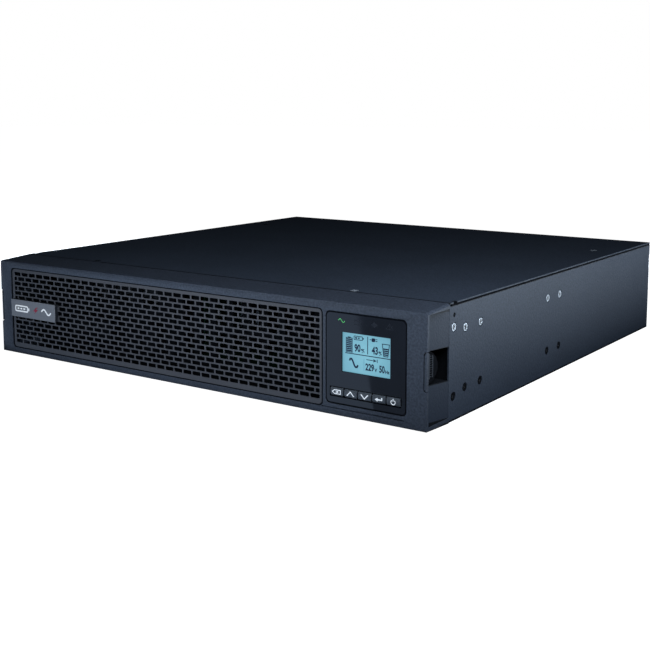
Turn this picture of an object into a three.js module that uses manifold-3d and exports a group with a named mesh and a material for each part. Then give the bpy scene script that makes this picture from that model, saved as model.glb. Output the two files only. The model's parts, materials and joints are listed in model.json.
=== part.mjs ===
// A rack or tower uninterruptible power supply, 2 rack units high.
// Millimetres, +Z up, the front looks along -Y, and the origin is under the middle of the case.
import * as THREE from 'three';
import { mergeVertices } from 'three/addons/utils/BufferGeometryUtils.js';
import Module from 'manifold-3d';

const wasm = await Module();
wasm.setup();

// ---- driving dimensions (y runs from the front face of the bezel to the back) ----
const CASE_W = 438;
const CASE_H = 85.4;
const CASE_END = 443.2;
const SHEET = 1.2;
const GAP = 0.3;

const BEZEL_W = 439.3;
const BEZEL_DEPTH = 31.1;
const BEZEL_BOTTOM = 1.24;
const BEZEL_TOP = 83.3;
const WALL = 3;
const RAMP_FRONT_X = 213.1;
const RAMP_REAR_X = 218.9;
const RAMP_THICK = 2;
const LIP_BOTTOM = 3.9;
const LIP_TOP = 81.7;
const CHAMFER = 1.4;

const GRILLE = { x0: -205, x1: 132.7, z0: 6.5, z1: 77.1, y0: 0.4, y1: 2.9, r: 3 };
const GRILLE_GAP = { side: 1.2, top: 0.6 };
const HOLES = { x0: -201.8, x1: 130.5, zTop: 72.64, pitch: 4.308, rows: 15, height: 2.5 };
const BADGE = { x0: -203.2, x1: -146.4, z0: 35.1, z1: 50.4, proud: 3 };

const LCD = { x: 170, z: 43.05, size: 65.6, gap: 1, depth: 24, r: 2.8 };
const SCREEN = { x0: 150.3, x1: 190.4, z0: 34.1, z1: 62.4, back: 1.6 };
const KEY = { w: 10.8, h: 5.7, pitch: 11.8, z: 18.6, proud: 1, back: 6.5, travel: 0.8 };

const LATCH = { z0: 29, z1: 56, x: 217.5, gap: 0.7, cut: 1.8, plateZ0: 31, plateZ1: 54.5 };
const POCKET = { x0: 203.6, y0: 4.2, rampFrontX: 212.3, rampRearX: 217.7, wall: 1.2 };

const PLATE_Y = 33.5;
const BAY = { x0: -202, x1: -41.5, z0: 1, z1: 76 };
const TRAY = { x0: -199.5, x1: -43.5, y0: 36, y1: 344, z0: 1.6, side: 42 };
const BATTERY = { x: 151, y: 96, z: 65 };

const REAR_Y = 438;
const FAN = { size: 60, depth: 25, bore: 57, z: 42, x: [116, 182] };
const BOARD = { x0: -34, x1: 212, y0: 56, y1: 400, z0: 9, z1: 10.6 };
const OUTLET = { w: 28, h: 22, pitch: 30, x: -24, z: [27, 61] };

const FRONT_OF_ALL = -BADGE.proud;
const MIDDLE_Y = (CASE_END + FRONT_OF_ALL) / 2;

// ---- solids ----
function solid(geometry) {
  const bare = geometry.index ? geometry : geometry.clone();
  bare.deleteAttribute('normal');
  bare.deleteAttribute('uv');
  const merged = mergeVertices(bare, 1e-4);
  return new wasm.Manifold(new wasm.Mesh({
    numProp: 3,
    vertProperties: new Float32Array(merged.attributes.position.array),
    triVerts: new Uint32Array(merged.index.array),
  }));
}

function block(x0, x1, y0, y1, z0, z1) {
  const box = new THREE.BoxGeometry(x1 - x0, y1 - y0, z1 - z0);
  box.translate((x0 + x1) / 2, (y0 + y1) / 2, (z0 + z1) / 2);
  return solid(box);
}

function outline(points) {
  return new THREE.Shape(points.map(([a, b]) => new THREE.Vector2(a, b)));
}

function roundRect(x0, x1, z0, z1, r) {
  const shape = new THREE.Shape();
  shape.moveTo(x0 + r, z0);
  shape.lineTo(x1 - r, z0);
  shape.absarc(x1 - r, z0 + r, r, -Math.PI / 2, 0);
  shape.lineTo(x1, z1 - r);
  shape.absarc(x1 - r, z1 - r, r, 0, Math.PI / 2);
  shape.lineTo(x0 + r, z1);
  shape.absarc(x0 + r, z1 - r, r, Math.PI / 2, Math.PI);
  shape.lineTo(x0, z0 + r);
  shape.absarc(x0 + r, z0 + r, r, Math.PI, Math.PI * 1.5);
  return shape;
}

function extrude(shape, depth, curveSegments = 3) {
  return new THREE.ExtrudeGeometry(shape, { depth, curveSegments, bevelEnabled: false });
}

// A shape drawn as seen from the front (x, z), from y0 back to y1.
function frontPlate(shape, y0, y1, curveSegments) {
  return solid(extrude(shape, y1 - y0, curveSegments).rotateX(Math.PI / 2).translate(0, y1, 0));
}

// A shape drawn as seen from the side (y, z), from x0 to x1.
function sidePlate(shape, x0, x1) {
  const turn = new THREE.Matrix4().makeBasis(
    new THREE.Vector3(0, 1, 0), new THREE.Vector3(0, 0, 1), new THREE.Vector3(1, 0, 0));
  return solid(extrude(shape, x1 - x0).applyMatrix4(turn).translate(x0, 0, 0));
}

// A shape drawn from above (x, y), from z0 up to z1.
function floorPlate(shape, z0, z1) {
  return solid(extrude(shape, z1 - z0).translate(0, 0, z0));
}

function cylinderY(x, z, r, y0, y1, sides = 12) {
  return solid(new THREE.CylinderGeometry(r, r, y1 - y0, sides).translate(x, (y0 + y1) / 2, z));
}

// A cylinder geometry stands along Y already, so only X and Z ones are turned.
function cylinderX(y, z, r, x0, x1, sides = 12) {
  return solid(new THREE.CylinderGeometry(r, r, x1 - x0, sides)
    .rotateZ(Math.PI / 2).translate((x0 + x1) / 2, y, z));
}

function cylinderZ(x, y, r, z0, z1, sides = 12) {
  return solid(new THREE.CylinderGeometry(r, r, z1 - z0, sides)
    .rotateX(Math.PI / 2).translate(x, y, (z0 + z1) / 2));
}

function mirror(shape) {
  return shape.mirror([1, 0, 0]);
}

function join(solids) {
  return solids.reduce((all, next) => all.add(next));
}

function cut(body, tools) {
  return tools.reduce((rest, tool) => rest.subtract(tool), body);
}

const model = new THREE.Group();
model.position.y = -MIDDLE_Y;

function part(name, body, look) {
  const { vertProperties, triVerts } = body.getMesh();
  const geometry = new THREE.BufferGeometry();
  geometry.setAttribute('position', new THREE.BufferAttribute(new Float32Array(vertProperties), 3));
  geometry.setIndex(new THREE.BufferAttribute(new Uint32Array(triVerts), 1));
  geometry.computeVertexNormals();
  const mesh = new THREE.Mesh(geometry, look);
  mesh.name = name;
  model.add(mesh);
}

function finish(color, roughness, metalness = 0) {
  return new THREE.MeshStandardMaterial({ color, roughness, metalness });
}

const LOOK = {
  paint: finish(0x2c323c, 0.55, 0.2),
  plastic: finish(0x2b313b, 0.6),
  black: finish(0x15171b, 0.5),
  gloss: finish(0x0b0d12, 0.08),
  badge: finish(0x5d6a75, 0.35, 0.4),
  screen: finish(0x82bed7, 0.3),
  key: finish(0x4a4f57, 0.45),
  zinc: finish(0xb9bcc0, 0.35, 0.9),
  steel: finish(0x8f9499, 0.4, 0.9),
  aluminium: finish(0xc3c6c9, 0.35, 0.9),
  board: finish(0x1d5a36, 0.5),
  battery: finish(0x4b4e54, 0.6),
  copper: finish(0xb4682f, 0.4, 0.8),
  sleeve: finish(0x27406e, 0.35),
  red: finish(0xa3262a, 0.5),
  ferrite: finish(0x3b3a3c, 0.7),
};

// ---- sheet-metal case ----
const UPPER_SCREW_Z = 64.75;
const LOWER_SCREW_Z = 21;
const EAR_SCREWS = [[38.2, 67.5], [38.2, 17.75]];
const RAIL_SCREW_Y = [55.5, 79, 198.2, 222.2];
const SIDE_SCREWS = EAR_SCREWS.concat(
  RAIL_SCREW_Y.map((y) => [y, UPPER_SCREW_Z]), RAIL_SCREW_Y.map((y) => [y, LOWER_SCREW_Z]));
const SCREW_R = 3.4;
const COVER_SCREWS = [[-136, 37.6], [136, 37.6], [-196, 353], [196, 353]];
const PAN_TOP = 82.8;
const COVER_UNDER = 84.2;
const COVER_LIP = 73;

function countersunk(sides, grow = 0) {
  const head = SCREW_R + grow;
  const profile = [[0, 0], [head, 0], [head, -0.3 - grow], [1.5 + grow, -1.3 - grow],
    [1.5 + grow, -4], [0, -4]].map(([r, y]) => new THREE.Vector2(r, y)).reverse();
  return new THREE.LatheGeometry(profile, sides);
}

function sideScrew(y, z, grow = 0) {
  return solid(countersunk(8, grow).rotateZ(-Math.PI / 2).translate(CASE_W / 2 + grow / 9, y, z));
}

function coverScrew(x, y, grow = 0) {
  return solid(countersunk(8, grow).rotateX(Math.PI / 2).translate(x, y, CASE_H + grow / 9));
}

function makePan() {
  const half = CASE_W / 2;
  const front = BEZEL_DEPTH + GAP;
  let pan = block(-half, half, front, CASE_END, 0, PAN_TOP);
  pan = cut(pan, [block(-half + SHEET, half - SHEET, front - 1, CASE_END + 1, SHEET, PAN_TOP + 1)]);
  const holes = SIDE_SCREWS.map(([y, z]) => sideScrew(y, z, GAP));
  const slit = cylinderX(38.5, 76.2, 1.8, half - 2, half + 1, 10);
  holes.push(slit);
  pan = cut(pan, holes.concat(holes.map(mirror)));
  const studs = [];
  for (const x of [BOARD.x0 + 8, 90, BOARD.x1 - 8]) {
    for (const y of [BOARD.y0 + 8, BOARD.y1 - 8]) {
      studs.push(cylinderZ(x, y, 3, SHEET - 0.2, BOARD.z0 - GAP, 6));
    }
  }
  part('chassis_pan', join([pan].concat(studs)), LOOK.paint);
}

function makeCover() {
  const half = CASE_W / 2;
  const lipX = half - SHEET - GAP;
  const y0 = BEZEL_DEPTH + 0.6;
  const top = block(-half, half, y0, CASE_END, COVER_UNDER, CASE_H);
  const lip = block(lipX - SHEET, lipX, y0 + 4, CASE_END - 0.6, COVER_LIP, COVER_UNDER + 0.1);
  const notch = block(half - 2, half + 1, 37.6, 42, COVER_UNDER - 1, CASE_H + 1);
  const slots = [notch, mirror(notch)];
  const screws = COVER_SCREWS.map(([x, y]) => coverScrew(x, y, GAP));
  const lipHoles = SIDE_SCREWS.filter(([, z]) => z > COVER_LIP - 6)
    .map(([y, z]) => cylinderX(y, z, 6, lipX - 3, lipX + 1, 8));
  part('top_cover', cut(join([top, lip, mirror(lip)]),
    slots.concat(screws, lipHoles, lipHoles.map(mirror))), LOOK.paint);
}

function makeCoverScrews() {
  const places = ['front_left', 'front_right', 'rear_left', 'rear_right'];
  places.forEach((place, i) => {
    part(`cover_screw_${place}`, coverScrew(...COVER_SCREWS[i]), LOOK.zinc);
  });
}

const POST_R = 2.5;
const BEZEL_POSTS = [[-208.4, 7], [-208.4, 78.5], [206.5, 7], [206.5, 78.5]];

function makeFrontPlate() {
  const half = CASE_W / 2 - SHEET - GAP;
  const plate = block(-half, half, PLATE_Y, PLATE_Y + SHEET, SHEET + GAP, PAN_TOP - 0.4);
  const tools = [block(BAY.x0, BAY.x1, PLATE_Y - 1, PLATE_Y + 3, BAY.z0, BAY.z1)];
  for (let column = 0; column < 9; column += 1) {
    const x = -30 + column * 17.5;
    for (const z of [16, 44]) {
      tools.push(block(x, x + 10, PLATE_Y - 1, PLATE_Y + 3, z, z + 22));
    }
  }
  for (const [x, z] of BEZEL_POSTS) {
    tools.push(cylinderY(x, z, POST_R + 0.4, PLATE_Y - 1, PLATE_Y + 3, 8));
  }
  part('front_plate', cut(plate, tools), LOOK.paint);
}

function makeBayWall() {
  part('battery_bay_wall', block(-38, -36.8, 35.2, 372, SHEET + GAP, 70), LOOK.paint);
}

// ---- front bezel ----
function bezelShell() {
  const half = BEZEL_W / 2;
  const profile = outline([[0, BEZEL_BOTTOM], [BEZEL_DEPTH, 0], [BEZEL_DEPTH, CASE_H], [0, BEZEL_TOP]]);
  const inner = outline([[RAMP_FRONT_X - RAMP_THICK, WALL], [RAMP_REAR_X - RAMP_THICK, BEZEL_DEPTH + 1],
    [-RAMP_REAR_X + RAMP_THICK, BEZEL_DEPTH + 1], [-RAMP_FRONT_X + RAMP_THICK, WALL]]);
  const scoop = outline([[RAMP_FRONT_X, WALL], [half + 1, WALL], [half + 1, BEZEL_DEPTH + 1],
    [RAMP_REAR_X + 0.2, BEZEL_DEPTH + 1]]);
  const side = floorPlate(scoop, LIP_BOTTOM, LIP_TOP);
  const corner = chamferTool(half);
  return cut(sidePlate(profile, -half, half),
    [floorPlate(inner, LIP_BOTTOM, LIP_TOP), side, mirror(side), corner, mirror(corner)]);
}

// A tilted bar that takes the sharp edge off where the sloping top meets the side.
function chamferTool(half) {
  const size = 6;
  const out = size / 2 / Math.SQRT2 - CHAMFER / 2;
  const slope = Math.atan2(CASE_H - BEZEL_TOP, BEZEL_DEPTH);
  const bar = new THREE.BoxGeometry(size, BEZEL_DEPTH + 10, size).rotateY(Math.PI / 4).rotateX(slope)
    .translate(half + out, BEZEL_DEPTH / 2, (BEZEL_TOP + CASE_H) / 2 + out);
  return solid(bar);
}

function latchNotch(sign) {
  const z0 = LATCH.z0 - LATCH.gap;
  const z1 = LATCH.z1 + LATCH.gap;
  const x0 = LATCH.x - LATCH.gap;
  const edge = BEZEL_W / 2 + 1;
  const strip = frontPlate(outline([[x0, z0 + LATCH.cut], [x0 + LATCH.cut, z0], [edge, z0],
    [edge, z1], [x0 + LATCH.cut, z1], [x0, z1 - LATCH.cut]]), -1, WALL + 1);
  const window = block(RAMP_FRONT_X - 8, edge, WALL, BEZEL_DEPTH + 1,
    LATCH.plateZ0 - 0.3, LATCH.plateZ1 + 0.3);
  const both = strip.add(window);
  return sign > 0 ? both : mirror(both);
}

// Closes the finger pocket on the inside: a back wall and two shelves that end in the sloping side wall.
function pocketLiner(sign) {
  const p = POCKET;
  const z0 = LATCH.plateZ0 - 0.3;
  const z1 = LATCH.plateZ1 + 0.3;
  const floor = outline([[p.x0, p.y0], [p.rampFrontX, p.y0], [p.rampRearX, BEZEL_DEPTH], [p.x0, BEZEL_DEPTH]]);
  const liner = cut(floorPlate(floor, z0 - p.wall, z1 + p.wall),
    [block(p.x0 + p.wall, p.rampRearX + 1, p.y0 - 1, BEZEL_DEPTH + 1, z0, z1)]);
  return sign > 0 ? liner : mirror(liner);
}

function makeBezel() {
  const g = GRILLE;
  const window = roundRect(g.x0 - GRILLE_GAP.side, g.x1 + GRILLE_GAP.side,
    g.z0 - GRILLE_GAP.top, g.z1 + GRILLE_GAP.top, g.r + 0.6);
  const reach = LCD.size / 2 + LCD.gap;
  const bay = roundRect(LCD.x - reach, LCD.x + reach, LCD.z - reach, LCD.z + reach, LCD.r + 0.8);
  const groove = block(g.x1, LCD.x + reach - 1.5, -1, 1, g.z0 - GRILLE_GAP.top, g.z0);
  const posts = BEZEL_POSTS.map(([x, z]) => cylinderY(x, z, POST_R, WALL - 0.5, PLATE_Y + 4, 8));
  const shell = cut(bezelShell(), [frontPlate(window, -1, WALL + 1), frontPlate(bay, -1, WALL + 1),
    groove, latchNotch(1), latchNotch(-1)]);
  part('front_bezel', join([shell, pocketLiner(1), pocketLiner(-1)].concat(posts)), LOOK.plastic);
}

function makeGrille() {
  const g = GRILLE;
  const panel = frontPlate(roundRect(g.x0, g.x1, g.z0, g.z1, g.r), g.y0, g.y1);
  const tools = [];
  const parts = 4;
  const step = (HOLES.x1 - HOLES.x0 + 2) / parts;
  for (let row = 0; row < HOLES.rows; row += 1) {
    const z = HOLES.zTop - row * HOLES.pitch;
    for (let i = 0; i < parts; i += 1) {
      const x = HOLES.x0 + i * step;
      tools.push(block(x, x + step - 2, g.y0 - 1, g.y1 + 1, z - HOLES.height / 2, z + HOLES.height / 2));
    }
  }
  const seat = block(BADGE.x0 - 0.4, BADGE.x1 + 0.4, g.y0 - 1, g.y1 + 1, BADGE.z0 - 0.4, BADGE.z1 + 0.4);
  const backing = block(BADGE.x0 - 3, BADGE.x1 + 3, 1.6, g.y1, BADGE.z0 - 3, BADGE.z1 + 3);
  part('grille_panel', cut(panel, tools.concat([seat])).add(backing), LOOK.plastic);
}

function makeBadge() {
  part('badge_plate', block(BADGE.x0, BADGE.x1, -BADGE.proud, 1.3, BADGE.z0, BADGE.z1), LOOK.badge);
}

function latchSolid() {
  const edge = 219.1;
  const strip = frontPlate(outline([[LATCH.x, LATCH.z0 + LATCH.cut], [edge, LATCH.z0],
    [edge, LATCH.z1], [LATCH.x, LATCH.z1 - LATCH.cut]]), 0, WALL);
  const { plateZ0: z0, plateZ1: z1 } = LATCH;
  const grip = floorPlate(outline([[LATCH.x, 2], [edge, 2], [edge, 3.2], [214.6, 4.4], [213.4, 6.5],
    [214.4, 24], [212.6, 24.4], [211.2, 7.5], [211.2, WALL + 0.3], [LATCH.x, WALL + 0.3]]), z0, z1);
  const shield = sidePlate(outline([[0, z0], [12, z0], [17.5, z0 + 2], [21.5, z0 + 5.5], [23.6, z0 + 9.5],
    [23.6, z1 - 9.5], [21.5, z1 - 5.5], [17.5, z1 - 2], [12, z1], [0, z1]]), 205, edge + 1);
  return strip.add(grip.intersect(shield));
}

function makeLatches() {
  part('finger_latch_right', latchSolid(), LOOK.plastic);
  part('finger_latch_left', mirror(latchSolid()), LOOK.plastic);
}

// ---- display module ----
function keySlot(y0, y1) {
  const reach = KEY.pitch * 2 + KEY.w / 2 + 0.8;
  return block(LCD.x - reach, LCD.x + reach, y0, y1, KEY.z - KEY.h / 2 - 0.7, KEY.z + KEY.h / 2 + 0.7);
}

function screenHole(y0, y1, grow) {
  const s = SCREEN;
  return block(s.x0 - grow, s.x1 + grow, y0, y1, s.z0 - grow, s.z1 + grow);
}

function makeDisplay() {
  const reach = LCD.size / 2;
  const square = (inset, r) => roundRect(LCD.x - reach + inset, LCD.x + reach - inset,
    LCD.z - reach + inset, LCD.z + reach - inset, r);
  const faceBack = 1.2;
  const face = frontPlate(square(0, LCD.r), 0, faceBack);
  part('display_window', cut(face, [keySlot(-1, 2), screenHole(-1, 2, 0)]), LOOK.gloss);
  const tub = frontPlate(square(0.1, LCD.r), faceBack + GAP, LCD.depth);
  const hollow = frontPlate(square(2, 1), 4, LCD.depth + 1);
  part('display_housing', cut(tub, [hollow, keySlot(0, 5), screenHole(0, 5, 0.8)]), LOOK.black);
  part('display_screen', block(SCREEN.x0 - 0.4, SCREEN.x1 + 0.4, SCREEN.back, SCREEN.back + 2.6,
    SCREEN.z0 - 0.4, SCREEN.z1 + 0.4), LOOK.screen);
  part('display_board', block(LCD.x - 29.5, LCD.x + 29.5, 8, 9.6, LCD.z - 29.5, LCD.z + 29.5), LOOK.board);
}

function makeKeys() {
  const names = ['escape', 'up', 'down', 'enter', 'power'];
  names.forEach((name, i) => {
    const x = LCD.x + (i - 2) * KEY.pitch;
    const cap = block(x - KEY.w / 2, x + KEY.w / 2, -KEY.proud, KEY.back,
      KEY.z - KEY.h / 2, KEY.z + KEY.h / 2);
    const flange = block(x - KEY.w / 2 - 0.3, x + KEY.w / 2 + 0.3, 5.3, KEY.back,
      KEY.z - KEY.h / 2 - 1.2, KEY.z + KEY.h / 2 + 1.2);
    part(`${name}_button`, cap.add(flange), LOOK.key);
  });
}

// ---- batteries ----
function makeTray() {
  const t = TRAY;
  const top = t.z0 + t.side;
  let tray = block(t.x0, t.x1, t.y0, t.y1, t.z0, top);
  tray = cut(tray, [block(t.x0 + 1, t.x1 - 1, t.y0 - 1, t.y1 - 1, t.z0 + 1, top + 1)]);
  const flangeY = PLATE_Y - GAP;
  const flange = block(BAY.x0 - 2.5, BAY.x1 + 2.5, flangeY - SHEET, flangeY, t.z0, BAY.z1 + 3);
  const neck = block(t.x0, t.x1, flangeY - 0.5, t.y0 + 1, t.z0, t.z0 + 1);
  const frontHoles = [];
  for (let i = 0; i < 5; i += 1) {
    frontHoles.push(block(-196 + i * 30, -178 + i * 30, 30, PLATE_Y, 52, 72));
  }
  const connectorHole = block(-66, -50, 30, PLATE_Y, 14, 40);
  const windows = frontHoles.concat([connectorHole]);
  part('battery_tray', cut(join([tray, flange, neck]), windows), LOOK.steel);
  const grip = sidePlate(outline([[31.7, 20], [18, 20], [18, 38], [31.7, 38], [31.7, 35], [21, 35],
    [21, 23], [31.7, 23]]), -150, -100);
  part('tray_handle', grip, LOOK.black);
}

function makeBatteries() {
  const xMiddle = (TRAY.x0 + TRAY.x1) / 2;
  const z0 = TRAY.z0 + 1 + GAP;
  for (let i = 0; i < 3; i += 1) {
    const y0 = 46 + i * (BATTERY.y + 2.5);
    const case_ = block(xMiddle - BATTERY.x / 2, xMiddle + BATTERY.x / 2, y0 + 5, y0 + BATTERY.y,
      z0, z0 + BATTERY.z);
    const lugs = [-62, 62].map((dx) => block(xMiddle + dx - 3, xMiddle + dx + 3, y0, y0 + 5.2,
      z0 + 48, z0 + 50));
    part(`battery_${i + 1}`, join([case_].concat(lugs)), LOOK.battery);
  }
  const strapZ = z0 + BATTERY.z + GAP;
  part('battery_strap', block(xMiddle - 12, xMiddle + 12, 52, 338, strapZ, strapZ + 1.2), LOOK.steel);
}

function makeBatteryPlug() {
  part('battery_plug', block(-65, -51, 24, 46, 15, 39), LOOK.red);
}

// ---- electronics ----
function makeBoards() {
  const b = BOARD;
  part('power_board', block(b.x0, b.x1, b.y0, b.y1, b.z0, b.z1), LOOK.board);
  part('control_board', block(-32, -30.4, 60, 200, 14, 74), LOOK.board);
  part('port_board', block(-206, -96, 396, 424, 16, 17.6), LOOK.board);
}

function heatsink(x) {
  const z0 = BOARD.z1 + GAP;
  const fins = [[x, z0], [x + 34, z0], [x + 34, z0 + 4]];
  for (let i = 3; i >= 0; i -= 1) {
    const right = x + 4 + i * 8.6;
    fins.push([right + 2, z0 + 4], [right + 2, z0 + 46], [right, z0 + 46], [right, z0 + 4]);
  }
  fins.push([x, z0 + 4]);
  const comb = new THREE.Shape(fins.map(([a, b]) => new THREE.Vector2(a, b)));
  return frontPlate(comb, 90, 290);
}

function makeHeatsinks() {
  part('heatsink_left', heatsink(-20), LOOK.aluminium);
  part('heatsink_right', heatsink(150), LOOK.aluminium);
}

function makePowerParts() {
  const z0 = BOARD.z1 + GAP;
  const bank = [block(24, 56, 94, 234, z0, z0 + 1.6)];
  for (let i = 0; i < 4; i += 1) {
    bank.push(cylinderZ(40, 110 + i * 36, 15, z0 + 1, z0 + 48, 12));
  }
  part('capacitor_bank', join(bank), LOOK.sleeve);
  for (const [place, y] of [['front', 120], ['rear', 190]]) {
    part(`choke_coil_${place}`, solid(new THREE.TorusGeometry(20, 8, 8, 16)
      .translate(100, y, z0 + 9)), LOOK.copper);
  }
  const core = block(76, 124, 236, 288, z0, z0 + 40);
  part('transformer_core', cut(core, [block(84, 94, 235, 289, z0 + 8, z0 + 32),
    block(106, 116, 235, 289, z0 + 8, z0 + 32)]), LOOK.ferrite);
  const coil = block(84.4, 115.6, 232, 292, z0 + 8.4, z0 + 31.6);
  const limb = block(93.6, 106.4, 235.6, 288.4, z0 + 7, z0 + 33);
  part('transformer_coil', cut(coil, [limb]), LOOK.copper);
  const relays = [0, 1, 2, 3].map((i) => block(8 + i * 26, 28 + i * 26, 330, 346, z0 + 1, z0 + 26));
  part('relay_bank', join(relays.concat([block(6, 108, 328, 348, z0, z0 + 1.6)])), LOOK.black);
  part('inlet_filter', block(-31, 1, 330, 384, z0, z0 + 30), LOOK.aluminium);
}

// ---- rear ----
const INLET = { x: -72, z: 28, w: 30, h: 24 };
const BREAKER = { x: -56, z: 62, r: 8 };
const USB = { x: -199, z: 28, w: 13, h: 12 };
const SERIAL = { x: -172, z: 28, w: 31, h: 12.6 };
const STOP = { x: -142, z: 28, w: 13, h: 9 };
const NETWORK = { x: -116, z: 28, w: 30, h: 14 };
const BATTERY_PORT = { x: -92, z: 63, w: 38, h: 17 };
const SLOT = { x: -160, z: 60, w: 88, h: 28 };
const REAR_SCREWS = [[-212, 44], [-112.5, 44], [-207, 76], [-113, 76], [90, 8], [60, 78], [-30, 78]];

function footprint(port, y0, y1, grow) {
  return block(port.x - port.w / 2 - grow, port.x + port.w / 2 + grow, y0, y1,
    port.z - port.h / 2 - grow, port.z + port.h / 2 + grow);
}

function outletRow(z) {
  const x0 = OUTLET.x - OUTLET.w / 2 - 2;
  const x1 = x0 + OUTLET.pitch * 3 + OUTLET.w + 4;
  return { x: (x0 + x1) / 2, z, w: x1 - x0, h: OUTLET.h + 4 };
}

function makeRearPanel() {
  const half = CASE_W / 2 - SHEET - GAP;
  const top = COVER_UNDER - GAP;
  const panel = block(-half, half, REAR_Y, REAR_Y + SHEET, SHEET + GAP, top);
  const a = REAR_Y - 1;
  const b = REAR_Y + 3;
  const tools = [USB, SERIAL, STOP, NETWORK, BATTERY_PORT, INLET].map((p) => footprint(p, a, b, GAP));
  const lipGap = block(half - SHEET - GAP, half + 1, a, b, COVER_LIP - GAP, top + 1);
  tools.push(lipGap, mirror(lipGap));
  tools.push(...OUTLET.z.map((z) => footprint(outletRow(z), a, b, -2)));
  tools.push(footprint(SLOT, a, b, -4));
  tools.push(cylinderY(BREAKER.x, BREAKER.z, 6, a, b, 12));
  tools.push(...FAN.x.map((x) => cylinderY(x, FAN.z, FAN.bore / 2, a, b, 20)));
  tools.push(...REAR_SCREWS.map(([x, z]) => cylinderY(x, z, 1.9, a, b, 6)));
  part('rear_panel', cut(panel, tools), LOOK.paint);
}

function outletBank(name, z) {
  const row = outletRow(z);
  let bank = footprint(row, REAR_Y + SHEET + GAP, REAR_Y + 4, 0);
  bank = bank.add(footprint(row, REAR_Y - 24, REAR_Y + 3, -2.4));
  const tools = [];
  for (let i = 0; i < 4; i += 1) {
    const x = OUTLET.x + i * OUTLET.pitch;
    const mouth = outline([[x - 12, z - 8], [x + 12, z - 8], [x + 12, z + 4], [x + 8, z + 8],
      [x - 8, z + 8], [x - 12, z + 4]]);
    const core = outline([[x - 9.5, z - 5.5], [x + 9.5, z - 5.5], [x + 9.5, z + 3], [x + 6.8, z + 5.5],
      [x - 6.8, z + 5.5], [x - 9.5, z + 3]]);
    const island = frontPlate(core, REAR_Y - 13, REAR_Y + 2);
    tools.push(frontPlate(mouth, REAR_Y - 12, REAR_Y + 5).subtract(island));
    for (const [dx, dz] of [[-7, -1], [7, -1], [0, 2]]) {
      tools.push(block(x + dx - 1.1, x + dx + 1.1, REAR_Y - 12, REAR_Y + 5, z + dz - 2.1, z + dz + 2.1));
    }
  }
  part(name, cut(bank, tools), LOOK.black);
}

function makeInlet() {
  const p = INLET;
  const body = footprint(p, REAR_Y - 20, REAR_Y + 4, -0.2);
  const mouth = outline([[p.x - 12, p.z - 8], [p.x + 12, p.z - 8], [p.x + 12, p.z + 4], [p.x + 8, p.z + 8],
    [p.x - 8, p.z + 8], [p.x - 12, p.z + 4]]);
  const pins = [[-7, -1], [7, -1], [0, 3]].map(([dx, dz]) =>
    block(p.x + dx - 1, p.x + dx + 1, REAR_Y - 15, REAR_Y + 1, p.z + dz - 2, p.z + dz + 2));
  const socket = cut(body, [frontPlate(mouth, REAR_Y - 14, REAR_Y + 5)]);
  part('power_inlet', join([socket].concat(pins)), LOOK.black);
}

function makeBreaker() {
  const { x, z, r } = BREAKER;
  const nut = cylinderY(x, z, r, REAR_Y + SHEET + GAP, REAR_Y + 3.4, 6);
  const barrel = cylinderY(x, z, 5.4, REAR_Y - 26, REAR_Y + 3, 12);
  const bore = cylinderY(x, z, 3.6, REAR_Y - 6, REAR_Y + 6, 12);
  part('breaker_body', cut(nut.add(barrel), [bore]), LOOK.black);
  part('breaker_button', cylinderY(x, z, 3.2, REAR_Y - 3, REAR_Y + 4.9, 12), LOOK.red);
}

function makePorts() {
  const inner = REAR_Y - 12;
  const outer = REAR_Y + 2.6;
  const usb = cut(footprint(USB, inner, outer, 0), [block(USB.x - 4.3, USB.x + 4.3, inner + 3, outer + 1,
    USB.z - 4, USB.z + 4)]);
  part('usb_port', usb.add(block(USB.x - 2.8, USB.x + 2.8, inner + 2, outer - 2, USB.z - 1.6, USB.z + 1.6)),
    LOOK.zinc);
  const shell = footprint(SERIAL, inner, REAR_Y + 1.6, 0);
  const nose = frontPlate(outline([[SERIAL.x - 8.5, SERIAL.z + 4], [SERIAL.x - 7.2, SERIAL.z - 4],
    [SERIAL.x + 7.2, SERIAL.z - 4], [SERIAL.x + 8.5, SERIAL.z + 4]]), REAR_Y, REAR_Y + 5);
  part('serial_port', shell.add(nose), LOOK.zinc);
  const stop = footprint(STOP, inner, outer, 0);
  part('shutdown_terminal', cut(stop, [-3, 3].map((dx) => block(STOP.x + dx - 1.8, STOP.x + dx + 1.8,
    inner + 2, outer + 1, STOP.z - 2.6, STOP.z + 2.6))), LOOK.key);
  const net = footprint(NETWORK, inner, outer, 0);
  part('network_ports', cut(net, [-7.2, 7.2].map((dx) => block(NETWORK.x + dx - 5.8, NETWORK.x + dx + 5.8,
    inner + 2, outer + 1, NETWORK.z - 4, NETWORK.z + 4))), LOOK.black);
  const pack = footprint(BATTERY_PORT, inner, outer, 0);
  part('battery_port', cut(pack, [-9, 9].map((dx) => block(BATTERY_PORT.x + dx - 7, BATTERY_PORT.x + dx + 7,
    inner + 2, outer + 1, BATTERY_PORT.z - 5.5, BATTERY_PORT.z + 5.5))), LOOK.red);
  part('slot_cover', footprint(SLOT, REAR_Y + SHEET + GAP, REAR_Y + 2.7, 0).subtract(
    join([-1, 1].map((s) => cylinderY(SLOT.x + s * 40, SLOT.z, 1.9, REAR_Y, REAR_Y + 4, 6)))), LOOK.paint);
}

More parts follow.
